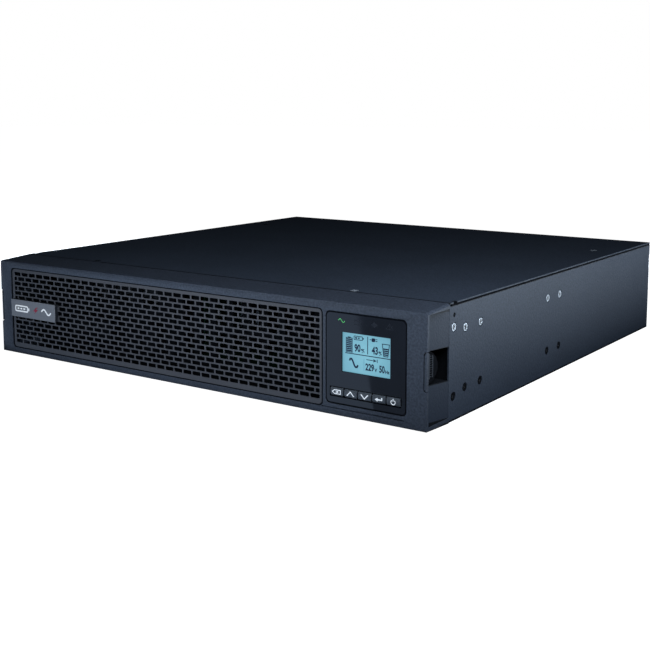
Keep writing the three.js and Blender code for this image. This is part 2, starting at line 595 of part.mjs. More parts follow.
// ---- fans ----
function makeFan(x, label) {
  const y1 = REAR_Y - GAP;
  const y0 = y1 - FAN.depth;
  const r = FAN.bore / 2;
  const half = FAN.size / 2;
  const ring = cut(block(x - half, x + half, y0, y1, FAN.z - half, FAN.z + half),
    [cylinderY(x, FAN.z, r, y0 - 1, y1 + 1, 20)]);
  const mount = cylinderY(x, FAN.z, 12, y0, y0 + 3, 12);
  const arms = [0, 1, 2].map((i) => {
    const arm = new THREE.BoxGeometry(r + 1, 3, 4).translate((r + 1) / 2, y0 + 1.5, 0)
      .rotateY((i * 2 * Math.PI) / 3 + 0.5).translate(x, 0, FAN.z);
    return solid(arm);
  });
  part(`fan_frame_${label}`, join([ring, mount].concat(arms)), LOOK.black);
  const hub = cylinderY(x, FAN.z, 12, y0 + 3 + GAP, y1 - 4, 12);
  const blades = [];
  for (let i = 0; i < 7; i += 1) {
    const blade = new THREE.BoxGeometry(r - 11.5, 16, 1.4).translate((r - 11.5) / 2 + 10.5, 0, 0);
    blade.rotateX(0.7).rotateY((i * 2 * Math.PI) / 7).translate(x, y0 + 12, FAN.z);
    blades.push(solid(blade));
  }
  part(`fan_rotor_${label}`, join([hub].concat(blades)), LOOK.black);
}

function makeGuards() {
  const y0 = REAR_Y + SHEET + GAP;
  const guards = FAN.x.map((x) => {
    const rings = [14, 25].map((r) => {
      const ring = cylinderY(x, FAN.z, r + 0.8, y0, y0 + 1.6, 12);
      return cut(ring, [cylinderY(x, FAN.z, r - 0.8, y0 - 1, y0 + 3, 12)]);
    });
    const spokes = [-1, 1].map((s) => {
      const bar = new THREE.BoxGeometry(68, 1.6, 1.6).rotateY((s * Math.PI) / 4)
        .translate(x, y0 + 0.8 + 0.4, FAN.z);
      return solid(bar);
    });
    return join(rings.concat(spokes));
  });
  guards.forEach((guard, i) => part(`fan_guard_${i === 0 ? 'inner' : 'outer'}`, guard, LOOK.zinc));
}

makePan();
makeCover();
makeCoverScrews();
makeFrontPlate();
makeBayWall();
makeBezel();
makeGrille();
makeBadge();
makeLatches();
makeDisplay();
makeKeys();
makeTray();
makeBatteries();
makeBatteryPlug();
makeBoards();
makeHeatsinks();
makePowerParts();
makeRearPanel();
outletBank('outlet_bank_lower', OUTLET.z[0]);
outletBank('outlet_bank_upper', OUTLET.z[1]);
makeInlet();
makeBreaker();
makePorts();
makeFan(FAN.x[0], 'inner');
makeFan(FAN.x[1], 'outer');
makeGuards();

export default model;
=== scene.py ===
"""Looks of a rack or tower uninterruptible power supply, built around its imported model.

Blender works in metres in the row frame. The builder functions here take millimetres in the part's own
frame: x from the middle, y back from the front face of the bezel, z up from the base.
"""
import json
import math

import bmesh
import bpy
from mathutils import Matrix, Vector


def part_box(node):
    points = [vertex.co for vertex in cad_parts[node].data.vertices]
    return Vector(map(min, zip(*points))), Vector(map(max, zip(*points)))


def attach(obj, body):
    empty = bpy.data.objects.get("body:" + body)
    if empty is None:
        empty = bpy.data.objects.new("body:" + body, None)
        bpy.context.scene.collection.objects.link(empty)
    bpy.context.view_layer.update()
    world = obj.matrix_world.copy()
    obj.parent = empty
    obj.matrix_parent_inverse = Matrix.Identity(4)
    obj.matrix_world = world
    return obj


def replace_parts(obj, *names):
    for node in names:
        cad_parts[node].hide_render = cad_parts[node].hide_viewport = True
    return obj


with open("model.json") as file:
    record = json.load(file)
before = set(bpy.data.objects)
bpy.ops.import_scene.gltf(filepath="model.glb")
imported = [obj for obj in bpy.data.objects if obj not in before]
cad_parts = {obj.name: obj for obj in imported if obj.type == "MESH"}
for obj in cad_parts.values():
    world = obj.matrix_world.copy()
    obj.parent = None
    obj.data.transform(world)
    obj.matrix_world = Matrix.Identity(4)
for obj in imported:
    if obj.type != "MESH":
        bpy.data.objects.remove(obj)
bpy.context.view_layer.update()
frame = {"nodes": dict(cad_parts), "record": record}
nodes = frame["nodes"]

MM = 0.001
FRONT_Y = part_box("front_bezel")[0].y
SIDES = (("right", 1), ("left", -1))
BODIES = frame["record"]["behaviour"]["bodies"]
BODY_OF = {node: body for body, members in BODIES.items() for node in members}
BEZEL = BODY_OF["front_bezel"]
DISPLAY = BODY_OF["display_window"]
DRAWER = BODY_OF["battery_tray"]
CASE = BODY_OF["chassis_pan"]


def at(x, y, z):
    return Vector((x * MM, FRONT_Y + y * MM, z * MM))


def local_box(node):
    """(x0, x1, y0, y1, z0, z1) of a CAD node in millimetres, in the part's own frame."""
    low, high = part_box(node)
    ends = []
    for axis in range(3):
        shift = FRONT_Y if axis == 1 else 0.0
        ends += [(low[axis] - shift) / MM, (high[axis] - shift) / MM]
    return ends


def middle_of(node):
    x0, x1, _, _, z0, z1 = local_box(node)
    return (x0 + x1) / 2, (z0 + z1) / 2


# ---- materials ----
def fill(node, values):
    """Sets a shader node's input values by name."""
    for socket, value in values.items():
        node.inputs[socket].default_value = value


class Look:
    """A Principled material whose colour, roughness and bump come from noise in the piece's own space."""

    def __init__(self, name, color, roughness, metallic=0.0, specular=0.5):
        self.material = bpy.data.materials.new(name)
        self.material.use_nodes = True
        self.tree = self.material.node_tree
        self.shader = self.tree.nodes["Principled BSDF"]
        self.color = color
        self.roughness = roughness
        fill(self.shader, {"Base Color": (*color, 1), "Roughness": roughness, "Metallic": metallic,
                           "Specular IOR Level": specular})
        self.where = self.node("ShaderNodeTexCoord").outputs["Object"]

    def node(self, kind, **values):
        made = self.tree.nodes.new(kind)
        fill(made, values)
        return made

    def join(self, source, target):
        self.tree.links.new(source, target)

    def noise(self, scale, detail=2.0, stretch=None):
        node = self.node("ShaderNodeTexNoise", Scale=scale, Detail=detail)
        source = self.where
        if stretch:
            mapping = self.node("ShaderNodeMapping", Scale=stretch)
            self.join(source, mapping.inputs["Vector"])
            source = mapping.outputs["Vector"]
        self.join(source, node.inputs["Vector"])
        return node.outputs["Fac"]

    def remap(self, source, low, high, start=0.3, end=0.7):
        node = self.node("ShaderNodeMapRange")
        fill(node, {"From Min": start, "From Max": end, "To Min": low, "To Max": high})
        self.join(source, node.inputs["Value"])
        return node.outputs["Result"]

    def mix(self, factor, first, second):
        node = self.node("ShaderNodeMix")
        node.data_type = "RGBA"
        self.join(factor, node.inputs["Factor"])
        for socket, value in zip((node.inputs[6], node.inputs[7]), (first, second)):
            if isinstance(value, tuple):
                socket.default_value = (*value, 1)
            else:
                self.join(value, socket)
        return node.outputs[2]

    def tone(self, spread, scale, detail=3.0, stretch=None):
        """Colour that drifts by that share either way."""
        factor = self.remap(self.noise(scale, detail, stretch), 0.0, 1.0)
        dark = tuple(c * (1 - spread) for c in self.color)
        light = tuple(c * (1 + spread) for c in self.color)
        self.join(self.mix(factor, dark, light), self.shader.inputs["Base Color"])
        return self

    def speckle(self, spread, scale):
        """Fine grains, lighter and darker by that share, on top of the colour so far."""
        target = self.shader.inputs["Base Color"]
        node = self.node("ShaderNodeVectorMath")
        node.operation = "SCALE"
        self.join(target.links[0].from_socket, node.inputs[0])
        self.join(self.remap(self.noise(scale, 1.0), 1 - spread, 1 + spread), node.inputs["Scale"])
        self.join(node.outputs["Vector"], target)
        return self

    def gloss(self, spread, scale, detail=2.0, stretch=None):
        factor = self.noise(scale, detail, stretch)
        out = self.remap(factor, max(self.roughness - spread, 0.0), self.roughness + spread)
        self.join(out, self.shader.inputs["Roughness"])
        return self

    def bump(self, *layers):
        """Each layer is (scale, depth in millimetres, stretch or None)."""
        below = None
        for scale, depth, stretch in layers:
            node = self.node("ShaderNodeBump", Strength=1.0, Distance=depth * MM)
            self.join(self.noise(scale, 2.0, stretch), node.inputs["Height"])
            if below is not None:
                self.join(below, node.inputs["Normal"])
            below = node.outputs["Normal"]
        self.join(below, self.shader.inputs["Normal"])
        return self

    def between(self, axis, low, high, mirrored=False):
        """1 where a coordinate lies between two values in metres (its size, if mirrored), else 0."""
        split = self.node("ShaderNodeSeparateXYZ")
        self.join(self.where, split.inputs["Vector"])
        value = split.outputs[axis]
        if mirrored:
            value = self.math("ABSOLUTE", value)
        above, below = self.math("GREATER_THAN", value, low), self.math("LESS_THAN", value, high)
        return self.math("MULTIPLY", above, below)

    def math(self, operation, first, second=None):
        node = self.node("ShaderNodeMath")
        node.operation = operation
        for socket, value in zip(node.inputs, (first, second)):
            if isinstance(value, (int, float)):
                socket.default_value = value
            elif value is not None:
                self.join(value, socket)
        return node.outputs["Value"]

    def repaint(self, color, *places):
        """Another colour inside each place, a list of (axis, low, high, mirrored) limits that all hold."""
        target = self.shader.inputs["Base Color"]
        for limits in places:
            inside = [self.between(*limit) for limit in limits]
            factor = inside[0]
            for more in inside[1:]:
                factor = self.math("MULTIPLY", factor, more)
            self.join(self.mix(factor, target.links[0].from_socket, color), target)
        return self

    def glow(self, color, strength):
        fill(self.shader, {"Emission Color": (*color, 1), "Emission Strength": strength})
        return self


def moulded(name, color, roughness, grain):
    return Look(name, color, roughness).tone(0.05, 22).gloss(0.06, 1200).bump(
        (800, grain, None), (2400, grain * 0.5, None))


def metal(name, color, roughness, brush=(1, 1, 1)):
    return Look(name, color, roughness, 1.0).tone(0.1, 60, 3, brush).gloss(0.1, 240, 3, brush).bump(
        (500, 0.012, brush))


SLATE = (0.043, 0.053, 0.073)
PLASTIC = (0.0425, 0.050, 0.0675)
# Black for painted shade: gaps, pockets, the undersides of lips and the lowest edges.
SHADE_BLACK = (0.006, 0.007, 0.009)


def grained_plastic(name):
    look = Look(name, PLASTIC, 0.52).tone(0.05, 22).speckle(0.28, 640).gloss(0.06, 1200)
    return look.bump((620, 0.2, None), (1700, 0.05, None))


def latch_look():
    """Slate where the latch shows in the bezel's face; painted shade makes the grip inside the finger
    pocket darker.
    """
    grip = [("Y", FRONT_Y + 2.9 * MM, 1.0)]
    return grained_plastic("latch_plastic").repaint((0.018, 0.022, 0.030), grip)


def bezel_look():
    """Slate, with painted shade: darker sloping side walls, black in openings, pockets, the shelf, under
    the lip and on the lowest edge.
    """
    face_back = FRONT_Y + 3.05 * MM
    behind_face, recess_height = ("Y", face_back, 1.0), ("Z", 0.0039, 0.0817)
    ramp = [behind_face, ("X", 0.2105, 0.2192, True), recess_height]
    wall_side = [("Y", FRONT_Y + 1.7 * MM, face_back), ("X", 0.2192, 1.0, True), recess_height]
    edges = [("Y", FRONT_Y + 0.5 * MM, FRONT_Y + 2.9 * MM), ("X", -1.0, 0.2178, True),
             ("Z", 0.0055, 0.0785)]
    recess_width = ("X", 0.2125, 0.2190, True)
    shelf = [behind_face, recess_width, ("Z", 0.0035, 0.0043)]
    under_lip = [behind_face, recess_width, ("Z", 0.0797, 0.0820)]
    pocket = [behind_face, ("X", 0.2030, 0.2195, True), ("Z", 0.0303, 0.0552)]
    foot = [("X", 0.2150, 1.0, True), ("Z", -1.0, 0.0015)]
    shaded = (0.026, 0.033, 0.048)
    look = grained_plastic("slate_plastic").repaint(shaded, ramp, wall_side)
    return look.repaint(SHADE_BLACK, edges, shelf, under_lip, pocket, foot)


def case_look(name, *shade_places):
    look = Look(name, SLATE, 0.5, specular=0.4).tone(0.06, 14).speckle(0.2, 640)
    look.gloss(0.07, 900).bump((620, 0.15, None), (1700, 0.04, None))
    return look.repaint(SHADE_BLACK, *shade_places)


# Dull black: the coat of inside parts, partly painted shade that keeps them dark behind the grille, and
# sheets of painted shade in gaps, pockets and recesses.
def black_coat_and_shade_look():
    look = Look("black_coat_and_painted_shade", (0.004, 0.0045, 0.006), 0.85, specular=0.12)
    return look.tone(0.06, 14).gloss(0.07, 900).bump((620, 0.05, None))


def printed(name, color, roughness, spread=0.1, scale=700):
    return Look(name, color, roughness).tone(spread, scale).gloss(0.05, 900)


def cover_look():
    """Slate coat, with painted shade in black on the folded lip in the joint, the rolled front edge and
    the side notches.
    """
    notch = [("Y", FRONT_Y + 37.3 * MM, FRONT_Y + 42.3 * MM), ("X", 0.2166, 1.0, True)]
    return case_look("cover_coat", [("Z", 0.0, 0.0843)], [("Y", -1.0, FRONT_Y + 33.4 * MM)], notch)


def screen_look():
    """A lit panel, a little brighter in the middle, with a faint mottle."""
    x, z = middle_of("display_screen")
    look = Look("lit_screen", (0.02, 0.05, 0.07), 0.25)
    away = look.node("ShaderNodeVectorMath")
    away.operation = "DISTANCE"
    look.join(look.where, away.inputs[0])
    away.inputs[1].default_value = at(x, 1.6, z - 1)
    fall = look.remap(away.outputs["Value"], 0.0, 1.0, 0.004, 0.026)
    colour = look.mix(fall, (0.222, 0.52, 0.63), (0.158, 0.385, 0.49))
    mottled = look.mix(look.remap(look.noise(260, 2), 0.0, 0.16), colour, (0.115, 0.31, 0.41))
    look.join(mottled, look.shader.inputs["Emission Color"])
    fill(look.shader, {"Emission Strength": 0.92})
    return look.bump((2600, 0.004, None))


BRUSHED = (0.2, 1, 6)
LOOKS = {
    # The case coat carries painted shade in black along its top edge under the cover and along the lowest
    # edge of the sides.
    "paint": case_look("slate_powder_coat", [("Z", 0.0824, 1.0)],
                       [("X", 0.2175, 1.0, True), ("Z", -1.0, 0.0009)]),
    "cover": cover_look(),
    "plastic": bezel_look(),
    "latch": latch_look(),
    "grille": moulded("grille_plastic", (0.067, 0.064, 0.069), 0.5, 0.03),
    "black": moulded("black_plastic", (0.012, 0.013, 0.016), 0.45, 0.05),
    "inner": black_coat_and_shade_look(),
    "gloss": Look("polished_black", (0.0035, 0.0042, 0.0075), 0.06).tone(0.3, 40).gloss(
        0.02, 30).bump((35, 0.01, None)),
    "badge": Look("satin_badge", (0.235, 0.229, 0.234), 0.36, 0.25).tone(0.05, 160, 3, BRUSHED).gloss(
        0.06, 400, 2, BRUSHED).bump((900, 0.006, BRUSHED)),
    "screen": screen_look(),
    "ink": printed("screen_ink", (0.006, 0.016, 0.045), 0.5, 0.2, 500),
    "faint": Look("screen_faint_line", (0.06, 0.15, 0.2), 0.5).tone(0.1, 500).glow(
        (0.07, 0.2, 0.28), 1.0),
    "key": moulded("satin_key", (0.068, 0.075, 0.086), 0.34, 0.012),
    # White print with a glow: painted light that keeps it bright whatever the lamps do.
    "white": printed("white_print_painted_glow", (0.72, 0.75, 0.78), 0.5, 0.04).glow((0.8, 0.85, 0.9), 0.45),
    "red": printed("red_print", (0.42, 0.018, 0.05), 0.45, 0.06),
    "green": Look("lit_green", (0.02, 0.2, 0.05), 0.4).tone(0.1, 700).glow(
        (0.06, 0.30, 0.08), 1.0),
    "unlit": printed("unlit_mark", (0.0075, 0.0085, 0.013), 0.45),
    "zinc": metal("zinc_plate", (0.62, 0.66, 0.70), 0.32),
    "pale_zinc": moulded("passivated_zinc", (0.22, 0.23, 0.25), 0.45, 0.02),
    "steel": metal("galvanised_steel", (0.42, 0.43, 0.44), 0.42),
    "dark_steel": metal("black_oxide", (0.035, 0.038, 0.045), 0.4),
    "aluminium": metal("aluminium", (0.60, 0.61, 0.62), 0.36, (1, 0.15, 1)),
    "contact": metal("contact_brass", (0.72, 0.55, 0.28), 0.3),
    "board": Look("solder_mask", (0.006, 0.04, 0.018), 0.45).tone(0.25, 260, 4).gloss(0.08, 700).bump(
        (900, 0.02, None)),
    "battery": moulded("battery_case", (0.026, 0.027, 0.030), 0.5, 0.06),
    "lid": moulded("battery_lid", (0.016, 0.017, 0.020), 0.45, 0.04),
    "copper": metal("enamelled_copper", (0.55, 0.22, 0.08), 0.32, (1, 1, 14)),
    "sleeve": moulded("capacitor_sleeve", (0.010, 0.012, 0.022), 0.4, 0.01),
    "signal": moulded("red_plastic", (0.33, 0.025, 0.022), 0.42, 0.03),
    "ferrite": moulded("ferrite", (0.03, 0.028, 0.03), 0.7, 0.08),
}

CAD_LOOKS = {
    "paint": "chassis_pan rear_panel slot_cover",
    "cover": "top_cover",
    # The inside parts behind the grille are near-black, partly painted shade.
    "inner": "front_plate battery_bay_wall battery_tray tray_handle battery_plug",
    "plastic": "front_bezel",
    "latch": "finger_latch_right finger_latch_left",
    "grille": "grille_panel",
    "badge": "badge_plate",
    "gloss": "display_window",
    "screen": "display_screen",
    "key": "escape_button up_button down_button enter_button power_button",
    "black": "display_housing relay_bank outlet_bank_lower outlet_bank_upper power_inlet"
             " breaker_body shutdown_terminal network_ports fan_frame_inner fan_frame_outer"
             " fan_rotor_inner fan_rotor_outer",
    "board": "power_board control_board port_board display_board",
    "aluminium": "heatsink_left heatsink_right inlet_filter",
    "zinc": "cover_screw_front_left cover_screw_front_right cover_screw_rear_left cover_screw_rear_right"
            " fan_guard_inner fan_guard_outer usb_port serial_port",
    "dark_steel": "battery_strap",
    "battery": "battery_1 battery_2 battery_3",
    "signal": "battery_port breaker_button",
    "copper": "choke_coil_front choke_coil_rear transformer_coil",
    "ferrite": "transformer_core",
    "sleeve": "capacitor_bank",
}
for look, names in CAD_LOOKS.items():
    for name in names.split():
        nodes[name].data.materials.clear()
        nodes[name].data.materials.append(LOOKS[look].material)


# ---- rounded edges in millimetres on the CAD nodes that stay ----
def round_edges(piece, width):
    weld = piece.modifiers.new("weld", "WELD")
    weld.merge_threshold = 1e-6
    flat = piece.modifiers.new("flat", "DECIMATE")
    flat.decimate_type = "DISSOLVE"
    flat.angle_limit = math.radians(0.5)
    bevel = piece.modifiers.new("bevel", "BEVEL")
    bevel.width = width * MM
    bevel.segments = 2
    bevel.limit_method = "ANGLE"
    bevel.angle_limit = math.radians(30)


EDGE_WIDTHS = {
    0.5: "front_bezel",
    0.35: "top_cover finger_latch_right finger_latch_left",
    0.2: "chassis_pan",
    0.3: "display_window slot_cover power_inlet outlet_bank_lower outlet_bank_upper network_ports"
         " shutdown_terminal breaker_body tray_handle battery_port battery_plug display_housing"
         " front_plate battery_tray usb_port",
    0.8: "battery_1 battery_2 battery_3 relay_bank inlet_filter transformer_core",
}
for width, names in EDGE_WIDTHS.items():
    for name in names.split():
        round_edges(nodes[name], width)


# ---- flat shapes in millimetres ----
def bar(x0, x1, z0, z1):
    return [(x0, z0), (x1, z0), (x1, z1), (x0, z1)]


def soft_bar(x0, x1, z0, z1, r, steps=3):
    """A rectangle with round corners."""
    corners = ((x1 - r, z0 + r, -90), (x1 - r, z1 - r, 0), (x0 + r, z1 - r, 90), (x0 + r, z0 + r, 180))
    return [point for cx, cz, start in corners for point in arc(cx, cz, r, start, start + 90, steps)]


def ray(cx, cz, r, turn):
    return cx + r * math.cos(turn), cz + r * math.sin(turn)


def arc(cx, cz, r, start, end, steps):
    return [ray(cx, cz, r, math.radians(start + (end - start) * i / steps)) for i in range(steps + 1)]


def disc(cx, cz, r, steps=24):
    return arc(cx, cz, r, 0, 360, steps)[:-1]


def wave(x0, x1, z0, z1):
    """One period of a sine."""
    middle, reach, steps = (z0 + z1) / 2, (z1 - z0) / 2, 20
    return [(x0 + (x1 - x0) * i / steps, middle + reach * math.sin(2 * math.pi * i / steps))
            for i in range(steps + 1)]


def stroke(points, width, closed=False):
    """A line of that width as loops: one loop when open, an outer and an inner one when closed."""
    count = len(points)
    sides = ([], [])
    for i, (x, z) in enumerate(points):
        before = points[i - 1] if i or closed else None
        after = points[(i + 1) % count] if i < count - 1 or closed else None
        first = Vector((x - before[0], z - before[1])).normalized() if before else None
        second = Vector((after[0] - x, after[1] - z)).normalized() if after else None
        along = ((first or second) + (second or first)).normalized()
        share = max(along.dot(first or second), 0.4)
        offset = Vector((-along.y, along.x)) * width / 2 / share
        sides[0].append((x + offset.x, z + offset.y))
        sides[1].append((x - offset.x, z - offset.y))
    return [sides[0], sides[1]] if closed else [sides[0] + sides[1][::-1]]


def moved(shapes, x, z):
    return [[[(x + dx, z + dz) for dx, dz in loop] for loop in loops] for loops in shapes]


# ---- meshes ----
FACING = {  # turns a drawing's right, up and towards the viewer into the row frame's directions
    "front": Matrix(((1, 0, 0), (0, 0, -1), (0, 1, 0))),
    "back": Matrix(((-1, 0, 0), (0, 0, 1), (0, 1, 0))),
    "right": Matrix(((0, 0, 1), (1, 0, 0), (0, 1, 0))),
    "left": Matrix(((0, 0, -1), (-1, 0, 0), (0, 1, 0))),
    "top": Matrix(((1, 0, 0), (0, 1, 0), (0, 0, 1))),
}


def linked(name, data):
    made = bpy.data.objects.new(name, data)
    bpy.context.scene.collection.objects.link(made)
    return made


def finished(work, name):
    mesh = bpy.data.meshes.new(name)
    work.to_mesh(mesh)
    work.free()
    return mesh


def baked(data):
    """The mesh that a curve or text makes."""
    holder = linked("holder", data)
    depsgraph = bpy.context.evaluated_depsgraph_get()
    mesh = bpy.data.meshes.new_from_object(holder.evaluated_get(depsgraph))
    bpy.data.objects.remove(holder)
    bpy.data.curves.remove(data)
    return mesh


def slab_mesh(loops, depth, bevel=0.0):
    """A plate with holes: its face is at z 0 and it goes depth back. Even-odd filling makes the holes."""
    curve = bpy.data.curves.new("outline", "CURVE")
    curve.dimensions = "2D"
    curve.fill_mode = "BOTH"
    curve.extrude = (depth / 2 - bevel) * MM
    curve.bevel_depth = bevel * MM
    curve.offset = -bevel * MM
    curve.bevel_resolution = 1
    for loop in loops:
        spline = curve.splines.new("POLY")
        spline.points.add(len(loop) - 1)
        for point, (x, z) in zip(spline.points, loop):
            point.co = (x * MM, z * MM, -depth / 2 * MM, 1)
        spline.use_cyclic_u = True
    return baked(curve)


def piece_from(name, meshes, look, body, smooth=None):
    """One piece made of finished meshes, welded, with outward faces, riding on a body.

    smooth is the angle in degrees below which its edges are shaded smooth.
    """
    work = bmesh.new()
    for mesh in meshes:
        work.from_mesh(mesh)
        bpy.data.meshes.remove(mesh)
    bmesh.ops.remove_doubles(work, verts=work.verts, dist=2e-7)
    bmesh.ops.recalc_face_normals(work, faces=work.faces)
    data = finished(work, name)
    data.materials.append(LOOKS[look].material)
    piece = linked(name, data)
    if smooth:
        data.shade_smooth()
        data.set_sharp_from_angle(angle=math.radians(smooth))
    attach(piece, body)
    return piece


def placed(mesh, facing, origin):
    turn = FACING[facing].to_4x4()
    turn.translation = origin
    mesh.transform(turn)
    return mesh


def mirrored(mesh, sign):
    """The mesh for the right side (sign 1), or its mirror image for the left (sign -1)."""
    mesh.transform(Matrix.Diagonal((sign, 1, 1, 1)))
    return mesh


def drawing(name, shapes, depth, facing, origin, look, body, bevel=0.0):
    """Each shape is a list of loops, filled on its own. The drawing's face is at origin."""
    meshes = [placed(slab_mesh(loops, depth, bevel), facing, origin) for loops in shapes]
    return piece_from(name, meshes, look, body)


def text_mesh(body, x0, x1, z0, z1, depth, heavy):
    """Figures of Blender's own font, thickened and stretched to a box, face at z 0."""
    font = bpy.data.curves.new("figures", "FONT")
    font.body = body
    font.extrude = depth / 2 * MM
    font.size = 0.01
    font.offset = heavy * MM
    mesh = baked(font)
    xs = [v.co.x for v in mesh.vertices]
    ys = [v.co.y for v in mesh.vertices]
    scale_x = (x1 - x0) * MM / (max(xs) - min(xs))
    scale_y = (z1 - z0) * MM / (max(ys) - min(ys))
    fit = Matrix.Diagonal((scale_x, scale_y, 1, 1))
    fit.translation = (x0 * MM - min(xs) * scale_x, z0 * MM - min(ys) * scale_y, -depth / 2 * MM)
    mesh.transform(fit)
    return mesh


def revolve(profile, steps):
    """A turned mesh from (radius, height) points, closed where the radius is 0, axis along z."""
    work = bmesh.new()
    rings = []
    for r, h in profile:
        if r < 1e-6:
            rings.append([work.verts.new((0, 0, h * MM))])
        else:
            turns = [2 * math.pi * i / steps for i in range(steps)]
            rings.append([work.verts.new((*ray(0, 0, r * MM, turn), h * MM)) for turn in turns])
    for low, high in zip(rings, rings[1:]):
        for i in range(steps):
            j = (i + 1) % steps
            corners = [low[i % len(low)], low[j % len(low)], high[j % len(high)], high[i % len(high)]]
            corners = [v for k, v in enumerate(corners) if v not in corners[:k]]
            if len(corners) > 2:
                work.faces.new(corners)
    return finished(work, "turned")


def cross(reach, half):
    """A plus sign."""
    return [(half, half), (half, reach), (-half, reach), (-half, half), (-reach, half), (-reach, -half),
            (-half, -half), (-half, -reach), (half, -reach), (half, -half), (reach, -half), (reach, half)]


def screw_meshes(radius, turn, head):
    """A cross-head screw as (bright rim, darker middle with the cross cut in it, black shank below). The
    darker middle and the black shank are painted shade in and round the cross.
    """
    sunk = 0.15
    rim = slab_mesh([disc(0, 0, radius, 28), disc(0, 0, radius * 0.7, 28)], head, 0.1)
    face = [disc(0, 0, radius * 0.72, 28), cross(radius * 0.6, radius * 0.17)]
    middle = slab_mesh(face, head - sunk, 0.05)
    turned = Matrix.Rotation(math.radians(turn), 4, "Z")
    turned.translation.z = -sunk * MM
    middle.transform(turned)
    wide, narrow, top = radius * 0.7, radius * 0.45, 0.1 - head
    shank = revolve([(0, top), (wide, top), (narrow, top - 0.7), (narrow, top - 2), (0, top - 2)], 20)
    return rim, middle, shank


# ---- grille ----
GX0, GX1, GY0, _, GZ0, GZ1 = local_box("grille_panel")
BX0, BX1, BY0, BY1, BZ0, BZ1 = local_box("badge_plate")
HOLE_X0, HOLE_TOP, HOLE_W, HOLE_H, HOLE_CORNER = -202.0, 72.64, 8.3, 3.15, 0.45
PITCH_X, PITCH_Z, ROWS, HOLES_A_ROW = 9.54, 4.308, 15, 35
GRILLE_THICK = 0.6


def brick(x0, x1, z):
    r, z0, z1 = HOLE_CORNER, z - HOLE_H / 2, z + HOLE_H / 2
    return [(x0 + r, z0), (x1 - r, z0), (x1, z0 + r), (x1, z1 - r),
            (x1 - r, z1), (x0 + r, z1), (x0, z1 - r), (x0, z0 + r)]


def behind_badge(x0, x1, z):
    inside_x = x0 > BX0 - 0.5 and x1 < BX1 + 0.5
    return inside_x and z - HOLE_H / 2 > BZ0 - 0.3 and z + HOLE_H / 2 < BZ1 + 0.3


def grille_holes():
    """Rows of bricks laid as in a wall: each second row starts and ends with a half one."""
    bar_w = PITCH_X - HOLE_W
    half = PITCH_X / 2 - bar_w
    holes = []
    for row in range(ROWS):
        first = HOLE_X0 + PITCH_X / 2 * (row % 2)
        spans = [(first + i * PITCH_X, first + i * PITCH_X + HOLE_W) for i in range(HOLES_A_ROW - row % 2)]
        if row % 2:
            end = spans[-1][1] + bar_w
            spans += [(HOLE_X0, HOLE_X0 + half), (end, end + half)]
        z = HOLE_TOP - row * PITCH_Z
        holes += [brick(x0, x1, z) for x0, x1 in spans if not behind_badge(x0, x1, z)]
    return holes


def grille_outline(left, right, below, above, r):
    """The CAD grille's outline with each side moved outwards by that much."""
    return soft_bar(GX0 - left, GX1 + right, GZ0 - below, GZ1 + above, r, 6)


grille = drawing("grille_mesh", [[grille_outline(-1.8, -0.2, -0.25, -0.35, 3)] + grille_holes()],
                 GRILLE_THICK, "front", at(0, GY0, 0), "grille", BEZEL, 0.08)
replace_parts(grille, "grille_panel")
# Dark sheets inside the bezel above and below the grille: painted shade seen through the holes.
for place, z in (("lower", 4.02), ("upper", 81.4)):
    drawing(f"grille_shade_{place}", [[bar(-200, 131, 3.1, 30)]], 0.1, "top", at(0, 0, z), "inner", BEZEL)
# A dark ring in the gap round the grille: painted shade.
joint = [grille_outline(1.15, 1.15, 0.55, 0.55, 3.4), grille_outline(-1.75, -0.15, -0.2, -0.3, 3)]
drawing("grille_gap_shade", [joint], 0.5, "front", at(0, GY0 + 0.05, 0), "inner", BEZEL)

# ---- badge: a satin face on a dark block, with plain marks ----
FACE_THICK, PRINT = 0.4, 0.06
FACE_Y = BY0 + PRINT + 0.01
BLOCK_Y = FACE_Y + FACE_THICK
BADGE = [[soft_bar(BX0, BX1, BZ0, BZ1, 0.8)]]
drawing("badge_block", BADGE, BY1 - BLOCK_Y, "front", at(0, BLOCK_Y, 0), "black", BEZEL,
        0.15)
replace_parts(drawing("badge_face", BADGE, FACE_THICK, "front", at(0, FACE_Y, 0), "badge", BEZEL,
                    0.12), "badge_plate")
BATTERY = [stroke(soft_bar(-197.4, -181.6, -2.3, 2.3, 0.8), 1.2, True),
           [soft_bar(-180.6, -179.4, -1.3, 1.3, 0.3)]]
CELLS = [[soft_bar(x, x + 2.4, -0.7, 0.7, 0.4)] for x in (-195, -191.1, -187.2)]
SINE = stroke(wave(-163.5, -151.5, -2.2, 2.2), 1.3)
BOLT = [(-170.2, 3.1), (-174.2, -0.7), (-171.6, -0.7), (-173.0, -3.1), (-167.8, 1.0), (-170.6, 1.0),
        (-168.4, 3.1)]
for name, shapes, look, slot in (("badge_mark", BATTERY + [SINE] + CELLS, "white", "badge_face"),
                                 ("badge_bolt", [[BOLT]], "red", "signal_red")):
    drawing(name, moved(shapes, 0, (BZ0 + BZ1) / 2), PRINT, "front", at(0, FACE_Y - PRINT, 0), look, BEZEL)

# ---- display window: a dark ring of painted shade in the gap round it, and indicator marks ----
WX0, WX1, WY0, _, WZ0, WZ1 = local_box("display_window")


def window_outline(grow, r):
    return soft_bar(WX0 - grow, WX1 + grow, WZ0 - grow, WZ1 + grow, r, 6)


joint = [window_outline(0.95, 3.5), window_outline(0.1, 2.8)]
drawing("display_gap_shade", [joint], 0.4, "front", at(0, 0.35, 0), "inner", BEZEL)


def window_mark(name, shapes, look):
    """A mark printed on the window; its shapes are drawn about the middle of the indicator row."""
    shapes = moved(shapes, (WX0 + WX1) / 2, WZ1 - 5.3)
    drawing(name, shapes, 0.04, "front", at(0, WY0 - 0.03, 0), look, DISPLAY)


